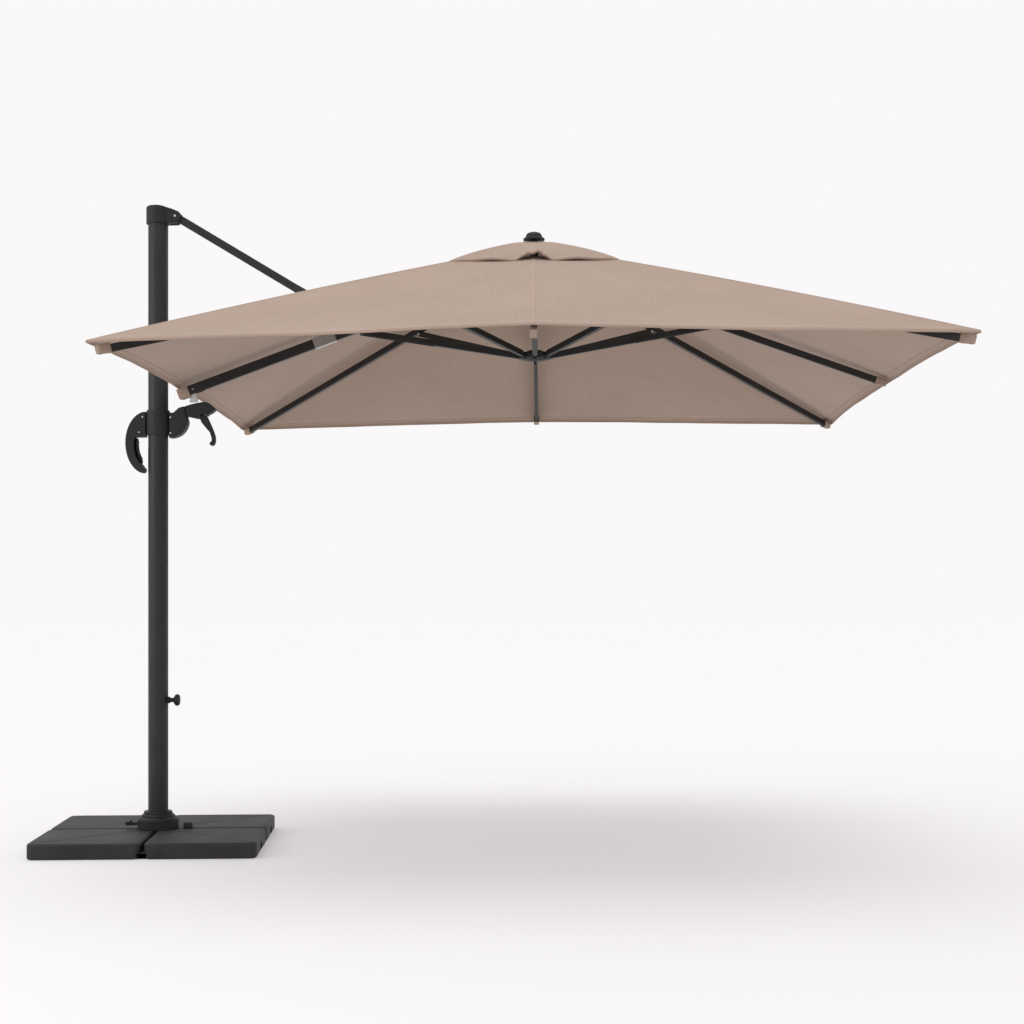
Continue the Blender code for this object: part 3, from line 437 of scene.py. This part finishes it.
# %% [markdown]
# ## Sewing with a grid
# Every sewn piece is a grid of points that a formula places, given the thickness of the cloth.
# A grid is what a cutter's pattern is, too: rows along the threads, columns across them.


# %% A helper that makes a sheet from rows of points
def sheet_from_rows(name, rows, finish, thickness, skip=None, closed=False):
    """Rows of (place, (u, v)) in the crown's frame become a sheet with thickness.

    skip(i, j) leaves a face out, and closed joins each row's end to its start. Returns the
    sheet, and its area as it was before it got its thickness.
    """
    shape = bmesh.new()
    uv = shape.loops.layers.uv.new("threads")
    grid = [[shape.verts.new(CROWN @ spot) for spot, _ in row] for row in rows]
    marks = {vert: mark for row, points in zip(grid, rows)
             for vert, (_, mark) in zip(row, points)}
    count = len(rows[0])
    for i in range(len(rows) - 1):
        for j in range(count if closed else count - 1):
            n = (j + 1) % count
            if skip and skip(i, j):
                continue
            face = shape.faces.new((grid[i][j], grid[i + 1][j], grid[i + 1][n], grid[i][n]))
            for loop in face.loops:
                loop[uv].uv = marks[loop.vert]
    loose = [vert for vert in shape.verts if not vert.link_faces]
    bmesh.ops.delete(shape, geom=loose, context="VERTS")
    shape.normal_update()
    if sum(face.normal.z for face in shape.faces) < 0:
        bmesh.ops.reverse_faces(shape, faces=shape.faces)
    mesh = bpy.data.meshes.new(name)
    shape.to_mesh(mesh)
    shape.free()
    made = bpy.data.objects.new(name, mesh)
    bpy.context.scene.collection.objects.link(made)
    mesh.materials.append(finish)
    flat_area = sum(face.area for face in mesh.polygons)
    thicken(made, thickness)
    return made, flat_area


def thicken(made, thickness):
    """Gives a sheet its thickness downwards, and shades it smooth but for its cut edges."""
    bpy.ops.object.select_all(action="DESELECT")
    bpy.context.view_layer.objects.active = made
    made.select_set(True)
    wall = made.modifiers.new("cloth", "SOLIDIFY")
    wall.thickness, wall.offset = thickness, -1.0
    bpy.ops.object.modifier_apply(modifier=wall.name)
    bpy.ops.object.shade_smooth_by_angle(angle=math.radians(50))
    made.select_set(False)


# %% [markdown]
# ## The roof, cut into gores
# On the real roof the skin is one piece that wraps from arm to arm. Here it is drawn as one
# surface and then cut along the middles between the arms, so that each strip can go with its
# own arm when the parasol closes. The last rows of each gore hang down at the edge and are
# turned under, which makes the doubled hem. The fifth gore has the slit that the stay passes
# through.

# %% Eight gores of the roof
CLOTH_THICK = 0.0012
HEM = 0.030
HANG = (0.012, 0.012, 0.012, 0.012, 0.012, 0.007, 0.0055, 0.007)  # the hem's drop at each arm
HUNG = -1.0          # marks a row whose depth comes from HANG
HALF_COLUMNS = 16
PLAIN_ROWS = 45
OPENING = 0.165
SLIT_T = (0.462, 0.578)
SLIT_ACROSS = 0.080
CLOSE = 1e-6


def column_steps():
    """Places across half a gore: close together at the arm, with one on the slit's edge."""
    steps = [j / HALF_COLUMNS for j in range(HALF_COLUMNS + 1)]
    steps[1], steps[2] = SLIT_ACROSS / 2, SLIT_ACROSS
    return [-s for s in reversed(steps[1:])] + steps


def row_steps():
    """Places along a gore, then the hem's step up, its edge and its turned-under part."""
    hem_start = 1 - HEM / ROOF_HALF
    last = PLAIN_ROWS - 1
    plain = [OPENING + (hem_start - OPENING) * i / last for i in range(PLAIN_ROWS)]
    for edge in SLIT_T:
        nearest = min(range(PLAIN_ROWS), key=lambda i: abs(plain[i] - edge))
        plain[nearest] = edge
    rows = [(t, 0.0) for t in plain]
    rows += [(hem_start + 0.0012, 0.0012), (hem_start + 0.008, 0.0014), (0.9980, 0.0010)]
    rows += [(1.0, -0.0006), (1.0012, -0.0040), (1.0012, HUNG), (1.0, HUNG - 0.0016)]
    rows += [(0.9988, HUNG), (0.9984, -0.0050), (0.9965, -0.0028), (hem_start + 0.002, -0.0013)]
    return rows


def hem_lift(k, u, lift):
    """How far a row's point is lifted; a hung row's depth goes smoothly from arm to arm."""
    if lift > HUNG:
        return lift
    share = abs(u) / 2
    beside = (k + (1 if u > 0 else -1)) % 8
    return lift - HUNG - HANG[k] * (1 - share) - HANG[beside] * share


def sideways_at(k):
    """The level direction across arm k."""
    turn = k * math.pi / 4
    return CROWN.to_3x3() @ Vector((-math.sin(turn), math.cos(turn), 0.0))


def gore(k):
    """The roof's strip over arm k, from the opening at the crown to the turned hem."""
    rows, columns = [], column_steps()
    for t, lift in row_steps():
        row = []
        for u in columns:
            spot = roof((k + u / 2) % 8, t)
            side = u * 0.5 * ROOF_HALF * t
            row.append((spot + Vector((0, 0, hem_lift(k, u, lift))), (side, t * ROOF_HALF)))
        rows.append(row)
    slit_rows = [i for i, (t, lift) in enumerate(row_steps())
                 if SLIT_T[0] - CLOSE <= t < SLIT_T[1] - CLOSE and lift == 0.0]
    slit_columns = [j for j, u in enumerate(columns)
                    if -SLIT_ACROSS - CLOSE <= u < SLIT_ACROSS - CLOSE]

    def in_slit(i, j):
        return k == 4 and i in slit_rows and j in slit_columns

    made, area = sheet_from_rows(f"roof_gore_{k + 1}", rows, CLOTH, CLOTH_THICK, in_slit)
    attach(made, ARM_BODY[k])
    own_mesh(made)
    return made


gores = [gore(k) for k in range(8)]
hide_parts("canopy")
print("roof gores", len(gores), "faces", sum(len(g.data.polygons) for g in gores))

# %% [markdown]
# ## Seams
# A lapped seam runs over every arm, where the cutter joined the panels. It is a narrow strip,
# doubled, that stands a little proud of the roof.

# %% Seam tapes over the arms
SEAM_HALF, SEAM_THICK, SEAM_PROUD = 0.0065, 0.0007, 0.0013
SEAM_END, SLIT_MARGIN = 0.9995, 0.012


def seam(name, k, start, end):
    """A strip over arm k, following the roof, with its sides tucked down."""
    rows, count = [], round(60 * (end - start))
    for i in range(count + 1):
        t = start + (end - start) * i / count
        row = []
        for share, rise in ((-1, 0.2), (-0.6, 1.0), (0, 1.0), (0.6, 1.0), (1, 0.2)):
            w = share * SEAM_HALF / (ROOF_HALF * t)
            spot = roof((k + w) % 8, t) + Vector((0, 0, SEAM_PROUD * rise))
            row.append((spot, (share * SEAM_HALF, t * ROOF_HALF)))
        rows.append(row)
    return sheet_from_rows(name, rows, SEAM, SEAM_THICK)


for k in range(8):
    spans = {"": (OPENING, SEAM_END)}
    if k == 4:
        spans = {"a": (OPENING, SLIT_T[0] - SLIT_MARGIN), "b": (SLIT_T[1] + SLIT_MARGIN, SEAM_END)}
    for letter, (start, end) in spans.items():
        tape, area = seam(f"roof_seam_{k + 1}{letter}", k, start, end)
        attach(tape, ARM_BODY[k])
print("seams done")

# %% [markdown]
# ## The bound slit
# The stay dives through a slit in the roof, whose raw edge is bound with webbing. The binding
# is a frame of tape that lies on the cloth all round the opening.

# %% The slit's binding
BINDING, BINDING_THICK = 0.013, 0.0010
BINDING_PROFILE = ((-0.10, 0.0002), (0.0, 0.0022), (0.5, 0.0022), (0.95, 0.0016), (1.0, 0.0002))


def slit_binding():
    """The frame of tape: five rings round the slit, each as (share outwards, lift)."""
    wide = BINDING / ROOF_HALF
    corners = ((-1, 0), (1, 0), (1, 1), (-1, 1))
    rows = []
    for out, lift in BINDING_PROFILE:
        ring = []
        for n in range(4):
            (u0, e0), (u1, e1) = corners[n], corners[(n + 1) % 4]
            for step in range(8):
                share = step / 8
                side, end = u0 + (u1 - u0) * share, e0 + (e1 - e0) * share
                t = SLIT_T[0] + (SLIT_T[1] - SLIT_T[0]) * end + (2 * end - 1) * wide * out
                across = side * (SLIT_ACROSS / 2 + wide * out / t)
                spot = roof((4 + across) % 8, t) + Vector((0, 0, lift))
                ring.append((spot, (out * BINDING, (n * 8 + step) * 0.01)))
        rows.append(ring)
    return sheet_from_rows("stay_slit_binding", rows, TAPE, BINDING_THICK, closed=True)


binding, area = slit_binding()
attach(binding, "boom")
print("slit bound with", round(area * 1e4), "square centimetres of webbing")

# %% [markdown]
# ## The wind vent
# A small second roof sits over the opening at the crown and lets the wind out. Its hem is
# heavier: it is rolled, and it flutters, so it dips and rises round the square. It is cut into
# eight like the roof.

# %% The vent as a formula
VENT_HALF = 0.338
VENT_PEAK = 0.100
VENT_MIDDLE, VENT_CORNER = -0.036, -0.030
VENT_START = 0.10
SHOULDER_AT, SHOULDER_LIFT = 0.24, 0.008
ROLL = 0.0060
MOUTH = ((-0.24, 0.0), (-0.13, 0.020), (-0.07, 0.031), (-0.018, 0.027), (0.062, 0.038),
         (0.13, 0.021), (0.24, 0.0))
MOUTH_STRENGTH = {6: 1.0, 0: 0.45, 2: 0.7, 4: 0.3}
DIP, EAR, EAR_WIDE = 0.004, 0.010, 0.07
VENT_SWING, VENT_HOLLOW = 0.018, 0.004
VENT_ROWS, VENT_HALF_COLUMNS = 23, 18


def flutter(a, t):
    """The vent hem's waves: a mouth at each side's middle, dips beside it, heavy corners."""
    side = round(a / 2) * 2 % 8
    along = (a + 1) % 2 - 1
    mouth = 0.0
    for (start, low), (end, high) in zip(MOUTH, MOUTH[1:]):
        if start <= along < end:
            share = (along - start) / (end - start)
            mouth = low + (high - low) * share * share * (3 - 2 * share)
    dip = math.sin(abs(along) * math.pi * 3.0) * DIP
    ear = EAR * math.exp(-(((1 - abs(along)) / EAR_WIDE) ** 2))
    return (MOUTH_STRENGTH[side] * mouth - dip - ear) * t ** 5


def vent_line(k, t):
    """The vent's line over arm k: nearly level under the knob, then straight to the hem."""
    end, bow = (VENT_CORNER, 0.006) if k % 2 else (VENT_MIDDLE, 0.004)
    spot = arm_line(k, t, VENT_HALF, VENT_PEAK, end, bow)
    spot.z += SHOULDER_LIFT * min(t / SHOULDER_AT, (1 - t) / (1 - SHOULDER_AT))
    return spot


def vent(a, t):
    """The vent's surface at arm number a and share t, as roof() gives the roof's."""
    k = math.floor(a)
    w = a - k
    spot = vent_line(k % 8, t).lerp(vent_line((k + 1) % 8, t), w)
    between = 4 * w * (1 - w)
    spot.xy *= 1 - VENT_SWING * between * t ** 3
    spot.z += flutter(a, t) - VENT_HOLLOW * between * math.sin(math.pi * t)
    return spot


def vent_gore(k):
    """The vent's strip over arm k; its last rows turn round and under, as the rolled hem."""
    rows, last = [], VENT_ROWS - 1
    steps = [VENT_START + (1 - VENT_START) * i / last for i in range(VENT_ROWS)]
    places = [(t, 0.0, 0.0) for t in steps]
    for n in range(1, 8):
        turn = math.radians(42 * n)
        places.append((1.0, ROLL * math.sin(turn), -ROLL * (1 - math.cos(turn))))
    for t, out, down in places:
        row = []
        for j in range(-VENT_HALF_COLUMNS, VENT_HALF_COLUMNS + 1):
            u = j / VENT_HALF_COLUMNS
            spot = vent((k + u / 2) % 8, t)
            away = Vector((spot.x, spot.y, 0)).normalized()
            row.append((spot + out * away + Vector((0, 0, down)),
                        (u * 0.5 * VENT_HALF * t, t * VENT_HALF + 0.01 * (len(rows) - last))))
        rows.append(row)
    made, area = sheet_from_rows(f"vent_gore_{k + 1}", rows, CLOTH, CLOTH_THICK)
    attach(made, ARM_BODY[k])
    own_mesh(made)
    return made


vents = [vent_gore(k) for k in range(8)]
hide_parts("vent_cap")
print("vent gores", len(vents))

# %% [markdown]
# ## The patch under the knob
# The points of the vent's eight panels meet under the knob, where they would fray. A round
# patch of webbing covers them. It is drawn on the vent's own surface in rings, and made round by
# scaling each point's share until it is as far out as its ring.

# %% The patch
PATCH_FLAT, PATCH_AROUND = 0.13, 64
PATCH_PROFILE = ((0.055, 0.0022), (0.12, 0.0024), (0.17, 0.0023), (0.185, 0.0016), (0.19, 0.0006))

rows = []
for t, lift in PATCH_PROFILE:
    row = []
    for j in range(PATCH_AROUND):
        a = 8 * j / PATCH_AROUND
        round_share = t * VENT_HALF / vent(a, t).xy.length
        spot = vent(a, t * round_share) + Vector((0, 0, lift))
        row.append((spot, (j / PATCH_AROUND * 0.35, t * VENT_HALF)))
    rows.append(row)
patch, area = sheet_from_rows("vent_patch", rows, TAPE, CLOTH_THICK, closed=True)
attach(patch, "crown")
print("vent patch", len(patch.data.polygons), "faces")

# %% [markdown]
# ## Pockets
# Each arm's end sits in a small pocket of doubled webbing sewn under the hem. One pocket is
# modelled along +X: a box, tapered to its closed end, hollowed from the open one, and rounded
# all over. It is then copied to the eight arms, each copy with its own mesh.

# %% One pocket
POCKET_LONG, POCKET_WIDE, POCKET_DEEP = 0.048, 0.027, 0.036
POCKET_WALL, POCKET_ROUND = 0.0022, 0.0030
POCKET_PAST_END, BOOM_POCKET_PAST_END = 0.006, 0.003
BOOM_POCKET = (1.04, 1.33, 1.40)  # the boom is thicker than a rib: its pocket is scaled


def only(made):
    """Makes one object the only selected one, and active."""
    bpy.ops.object.select_all(action="DESELECT")
    bpy.context.view_layer.objects.active = made
    made.select_set(True)


def pick(made, kind, wanted):
    """Enters edit mode with only the wanted faces, edges or vertices selected."""
    bpy.ops.object.mode_set(mode="OBJECT")
    mesh = made.data
    for group in (mesh.vertices, mesh.edges, mesh.polygons):
        group.foreach_set("select", [False] * len(group))
    chosen = {"FACE": mesh.polygons, "EDGE": mesh.edges, "VERT": mesh.vertices}[kind]
    for item in chosen:
        item.select = wanted(item)
    bpy.ops.object.mode_set(mode="EDIT")
    bpy.ops.mesh.select_mode(type=kind)


def settle(made):
    """Puts an object's place into its mesh, so that the object sits at the origin."""
    bpy.ops.object.mode_set(mode="OBJECT")
    only(made)
    bpy.ops.object.transform_apply(location=True, rotation=True, scale=True)


bpy.ops.object.select_all(action="DESELECT")
bpy.ops.mesh.primitive_cube_add(size=1.0, location=(0.0, 0.0, 0.0))
pocket = bpy.context.object
pocket.scale = (POCKET_LONG, POCKET_WIDE, POCKET_DEEP)
settle(pocket)
pick(pocket, "FACE", lambda face: face.normal.x > 0.9)
bpy.ops.transform.resize(value=(1.0, 0.90, 0.84), center_override=(0, 0, POCKET_DEEP * 0.5))
pick(pocket, "FACE", lambda face: face.normal.x < -0.9)
bpy.ops.mesh.inset(thickness=POCKET_WALL)
bpy.ops.mesh.extrude_region_move(TRANSFORM_OT_translate={"value": (POCKET_LONG * 0.8, 0, 0)})
bpy.ops.object.mode_set(mode="OBJECT")
soft = pocket.modifiers.new("sewn_edges", "BEVEL")
soft.width, soft.segments = POCKET_ROUND, 3
bpy.ops.object.modifier_apply(modifier=soft.name)
bpy.ops.object.shade_smooth_by_angle(angle=math.radians(40))
print("pocket faces", len(pocket.data.polygons))


# %% [markdown]
# ## Where the pockets go
# Each arm's own mesh says where its end is: the middle of its farthest points. The direction is
# then taken again from there, a few times, until both agree.

# %% Eight pockets
def arm_end(k):
    """The far end's middle of an arm, and the arm's direction, from its own mesh."""
    points = [vertex.co for vertex in nodes[ARM_BODY[k]].data.vertices]
    start = near_hinge if k == 4 else pivot[ARM_BODY[k]]
    farthest = max(points, key=lambda point: (point - start).length)
    along = (farthest - start).normalized()
    for _ in range(4):
        far = max((point - start).dot(along) for point in points)
        tip = [point for point in points if (point - start).dot(along) > far - 0.003]
        end = sum(tip, Vector()) / len(tip)
        along = (end - start).normalized()
    return end, along


def copy_of(master, name, place, finish, body):
    """A copy with its own mesh, put in place, finished and riding on a body."""
    made = bpy.data.objects.new(name, master.data.copy())
    bpy.context.scene.collection.objects.link(made)
    made.data.transform(place)
    made.data.materials.clear()
    made.data.materials.append(finish)
    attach(made, body)
    return made


pocket_uv = pocket.data.uv_layers.active
for loop in pocket.data.loops:
    spot = pocket.data.vertices[loop.vertex_index].co
    pocket_uv.data[loop.index].uv = (spot.x, spot.y + spot.z)
for k in range(8):
    end, along = arm_end(k)
    side = Vector((0, 0, 1)).cross(along).normalized()
    stand = along.cross(side)
    turned = Matrix((along, side, stand)).transposed().to_4x4()
    size = BOOM_POCKET if k == 4 else (1.0, 1.0, 1.0)
    shift = BOOM_POCKET_PAST_END if k == 4 else POCKET_PAST_END - POCKET_LONG / 2
    place = Matrix.Translation(end + shift * along) @ turned @ Matrix.Diagonal((*size, 1.0))
    copy_of(pocket, f"arm_pocket_{k + 1}", place, TAPE, ARM_BODY[k])
bpy.data.objects.remove(pocket)
print("pockets sewn on")

# %% [markdown]
# ## Rivets
# Each strut's fork is pinned to its arm with a domed rivet. A short cylinder is the start: its
# face is inset and pulled out in two steps, which makes the dome.

# %% One rivet, and its copies
RIVET_RADIUS, RIVET_DEEP, RIVET_FROM_TIP = 0.0060, 0.0012, 0.010
bpy.ops.object.select_all(action="DESELECT")
bpy.ops.mesh.primitive_cylinder_add(vertices=20, radius=RIVET_RADIUS, depth=RIVET_DEEP,
                                    rotation=(math.radians(90), 0, 0))
rivet = bpy.context.object
settle(rivet)
for inset, pull in ((0.0012, 0.0012), (0.0018, 0.0008)):
    pick(rivet, "FACE", lambda face: face.normal.y < -0.9)
    bpy.ops.mesh.inset(thickness=inset)
    bpy.ops.transform.translate(value=(0, -pull, 0))
bpy.ops.object.mode_set(mode="OBJECT")
bpy.ops.object.shade_smooth_by_angle(angle=math.radians(50))
for k in range(8):
    name, across_arm = f"strut_{k + 1}", sideways_at(k)
    points = [vertex.co for vertex in nodes[name].data.vertices]
    hinge = pivot[name]
    far = max((point - hinge).length for point in points)
    tip = [point for point in points if (point - hinge).length > far - 0.02]
    end = sum(tip, Vector()) / len(tip)
    outer = max(abs((point - end).dot(across_arm)) for point in tip)
    along = (end - hinge).normalized()
    pin_at = end - RIVET_FROM_TIP * along
    for side in (-1, 1):
        outward = side * across_arm
        turned = Matrix((along, -outward, along.cross(-outward))).transposed().to_4x4()
        place = Matrix.Translation(pin_at + (outer + RIVET_DEEP / 2) * outward) @ turned
        copy_of(rivet, f"strut_rivet_{k + 1}{'a' if side < 0 else 'b'}", place,
                FINISHES["steel"], name)
bpy.data.objects.remove(rivet)
print("rivets set")

# %% [markdown]
# ## The guard behind the trigger
# A thin crescent closes part of the gap behind the trigger, so that no finger is pinched there.
# It is a flat moulding: an outline drawn as two arcs of ovals, filled, pulled out and rounded.

# %% The guard behind the trigger
HANDLE_MIDDLE = Vector((-0.047, 0.0, 1.697))
GUARD_BACK, GUARD_THICK, GUARD_ROUND = 0.0102, 0.0024, 0.0005
GUARD_OUTER, GUARD_INNER = (0.0545, 0.0955), (0.0410, 0.0780)


def oval(radii, start, end, steps, middle=HANDLE_MIDDLE):
    """Points on an oval in the handle's plane, from one angle to another in degrees."""
    turns = [math.radians(start + (end - start) * i / steps) for i in range(steps + 1)]
    return [middle + Vector((radii[0] * math.cos(a), 0, radii[1] * math.sin(a))) for a in turns]


def plate(name, outline, thick, bevel_width, body, finish="moulded_plastic"):
    """A flat moulding: its outline is filled, pulled to a thickness along +Y, and rounded."""
    mesh = bpy.data.meshes.new(name)
    mesh.from_pydata([tuple(point) for point in outline], [], [range(len(outline))])
    made = bpy.data.objects.new(name, mesh)
    bpy.context.scene.collection.objects.link(made)
    only(made)
    pick(made, "FACE", lambda face: True)
    bpy.ops.mesh.extrude_region_move(TRANSFORM_OT_translate={"value": (0, thick, 0)})
    bpy.ops.mesh.select_all(action="SELECT")
    bpy.ops.mesh.normals_make_consistent(inside=False)
    bpy.ops.object.mode_set(mode="OBJECT")
    soft = made.modifiers.new("moulded_edge", "BEVEL")
    soft.width, soft.segments = bevel_width, 2
    soft.limit_method, soft.angle_limit = "ANGLE", math.radians(50)
    bpy.ops.object.modifier_apply(modifier=soft.name)
    bpy.ops.object.shade_smooth_by_angle(angle=math.radians(40))
    mesh.materials.append(FINISHES[finish])
    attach(made, body)
    return made


guard_edge = oval(GUARD_OUTER, 246, 162, 24) + oval(GUARD_INNER, 162, 240, 24)
guard = plate("handle_guard", [point + Vector((0, GUARD_BACK, 0)) for point in guard_edge],
              GUARD_THICK, GUARD_ROUND, "carriage")
print("guard", len(guard.data.polygons), "faces")

# %% [markdown]
# ## The rim of the tilt disc
# A raised rim runs round the lower part of the tilt disc, on both faces. The same two helpers
# make it, from arcs of circles.

# %% Two rims
DISC_MIDDLE = Vector((0.055, 0.0, 1.797))
DISC_HALF, RIM_PROUD, RIM_ROUND = 0.0262, 0.0022, 0.0006
RIM_OUTER, RIM_INNER = (0.0745, 0.0745), (0.0690, 0.0690)
rim_edge = oval(RIM_OUTER, -76, -6, 18, DISC_MIDDLE) + oval(RIM_INNER, -6, -76, 18, DISC_MIDDLE)
for face, start in (("front", -DISC_HALF - RIM_PROUD), ("back", DISC_HALF)):
    plate(f"tilt_disc_rim_{face}", [point + Vector((0, start, 0)) for point in rim_edge],
          RIM_PROUD, RIM_ROUND, "carriage")
print("rims set")

# %% [markdown]
# ## The catch block on the base
# A small block stands beside the swivel housing, across from the pedal. A cube is tapered
# towards its top, and its top is sunk a little, as a moulded block's is.

# %% The catch block
BASE_BODY, BASE_TURN_DEGREES = "base", 4.1
CATCH_SIZE, CATCH_ROUND, CATCH_AT = (0.040, 0.030, 0.026), 0.0025, (0.126, 0.0, 0.0785)
bpy.ops.object.select_all(action="DESELECT")
bpy.ops.mesh.primitive_cube_add(size=1.0, location=(0.0, 0.0, 0.0))
catch = bpy.context.object
catch.name = "base_catch"
catch.scale = CATCH_SIZE
settle(catch)
pick(catch, "FACE", lambda face: face.normal.z > 0.9)
bpy.ops.transform.resize(value=(0.80, 0.84, 1.0), center_override=(0, 0, CATCH_SIZE[2] / 2))
bpy.ops.mesh.inset(thickness=0.0035)
bpy.ops.transform.translate(value=(0, 0, -0.0015))
bpy.ops.object.mode_set(mode="OBJECT")
soft = catch.modifiers.new("moulded_edge", "BEVEL")
soft.width, soft.segments = CATCH_ROUND, 3
bpy.ops.object.modifier_apply(modifier=soft.name)
bpy.ops.object.shade_smooth_by_angle(angle=math.radians(40))
base_turn = Matrix.Rotation(math.radians(BASE_TURN_DEGREES), 4, "Z")
catch.data.transform(base_turn @ Matrix.Translation(CATCH_AT))
catch.data.materials.append(FINISHES["moulded_plastic"])
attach(catch, BASE_BODY)
print("catch block set")

# %% [markdown]
# ## The creases of the tiles
# Each ballast tile has a crease towards the mast, which stiffens its top. A long thin bar with
# sloping sides is made once, along +X, and turned to the four corners.

# %% The creases of the four tiles
TILE_TOP = 0.065
CREASE_SPAN, CREASE_WIDE, CREASE_HIGH = (0.100, 0.580), 0.0050, 0.0016
bpy.ops.object.select_all(action="DESELECT")
bpy.ops.mesh.primitive_cube_add(size=1.0, location=(sum(CREASE_SPAN) / 2, 0.0, TILE_TOP))
crease = bpy.context.object
crease.scale = (CREASE_SPAN[1] - CREASE_SPAN[0], CREASE_WIDE, CREASE_HIGH)
settle(crease)
pick(crease, "FACE", lambda face: face.normal.z > 0.9)
bpy.ops.transform.resize(value=(0.99, 0.36, 1.0), center_override=(sum(CREASE_SPAN) / 2, 0, 0))
bpy.ops.object.mode_set(mode="OBJECT")
for n, tile in enumerate(("back_right", "back_left", "front_left", "front_right")):
    turn = Matrix.Rotation(math.pi / 4 + n * math.pi / 2, 4, "Z")
    copy_of(crease, f"tile_crease_{tile}", base_turn @ turn, FINISHES["moulded_plastic"],
            BASE_BODY)
bpy.data.objects.remove(crease)
print("creases set")

# %% [markdown]
# ## Painted shade on the mast
# A near-black strip, barely proud, lies on the mast's face in the gap behind the handle and paints
# the shade that falls there. It is a piece of a tube: most faces of an open cylinder go, and the
# rest gets a thickness.

# %% The painted shade strip
STRIP_RADIUS, STRIP_PROUD, STRIP_LONG, STRIP_HEIGHT = 0.0420, 0.00028, 0.074, 1.638
STRIP_HALF_ANGLE = 0.62
# The strip's near-black tones, darker than the mast's paint, are painted shade.
SHADE_STRIP_DARK, SHADE_STRIP_LIGHT, SHADE_STRIP_EDGE = (0.0030,) * 3, (0.0045,) * 3, (0.012,) * 3


def off_the_strip(face):
    """True for a face of the cylinder that isn't within the strip, which faces the handle."""
    angle = math.atan2(-face.normal.y, -face.normal.x)
    return not -0.99 < angle / STRIP_HALF_ANGLE < 1


bpy.ops.object.select_all(action="DESELECT")
bpy.ops.mesh.primitive_cylinder_add(vertices=96, radius=STRIP_RADIUS, depth=STRIP_LONG,
                                    end_fill_type="NOTHING", location=(0, 0, STRIP_HEIGHT))
strip = bpy.context.object
strip.name = "mast_painted_shade_strip"
settle(strip)
pick(strip, "FACE", off_the_strip)
bpy.ops.mesh.delete(type="FACE")
bpy.ops.object.mode_set(mode="OBJECT")
wall = strip.modifiers.new("strip", "SOLIDIFY")
wall.thickness, wall.offset = STRIP_PROUD, 1.0
bpy.ops.object.modifier_apply(modifier=wall.name)
bpy.ops.object.shade_smooth_by_angle(angle=math.radians(40))
# The strip's finish paints the shade in the gap behind the handle.
strip.data.materials.append(hard_finish("painted_shade_black", SHADE_STRIP_DARK, SHADE_STRIP_LIGHT, SHADE_STRIP_EDGE,
                                        (0.70, 0.85), 1200.0, 0.0003, specular=0.15))
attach(strip, "mast")
print("strip set")
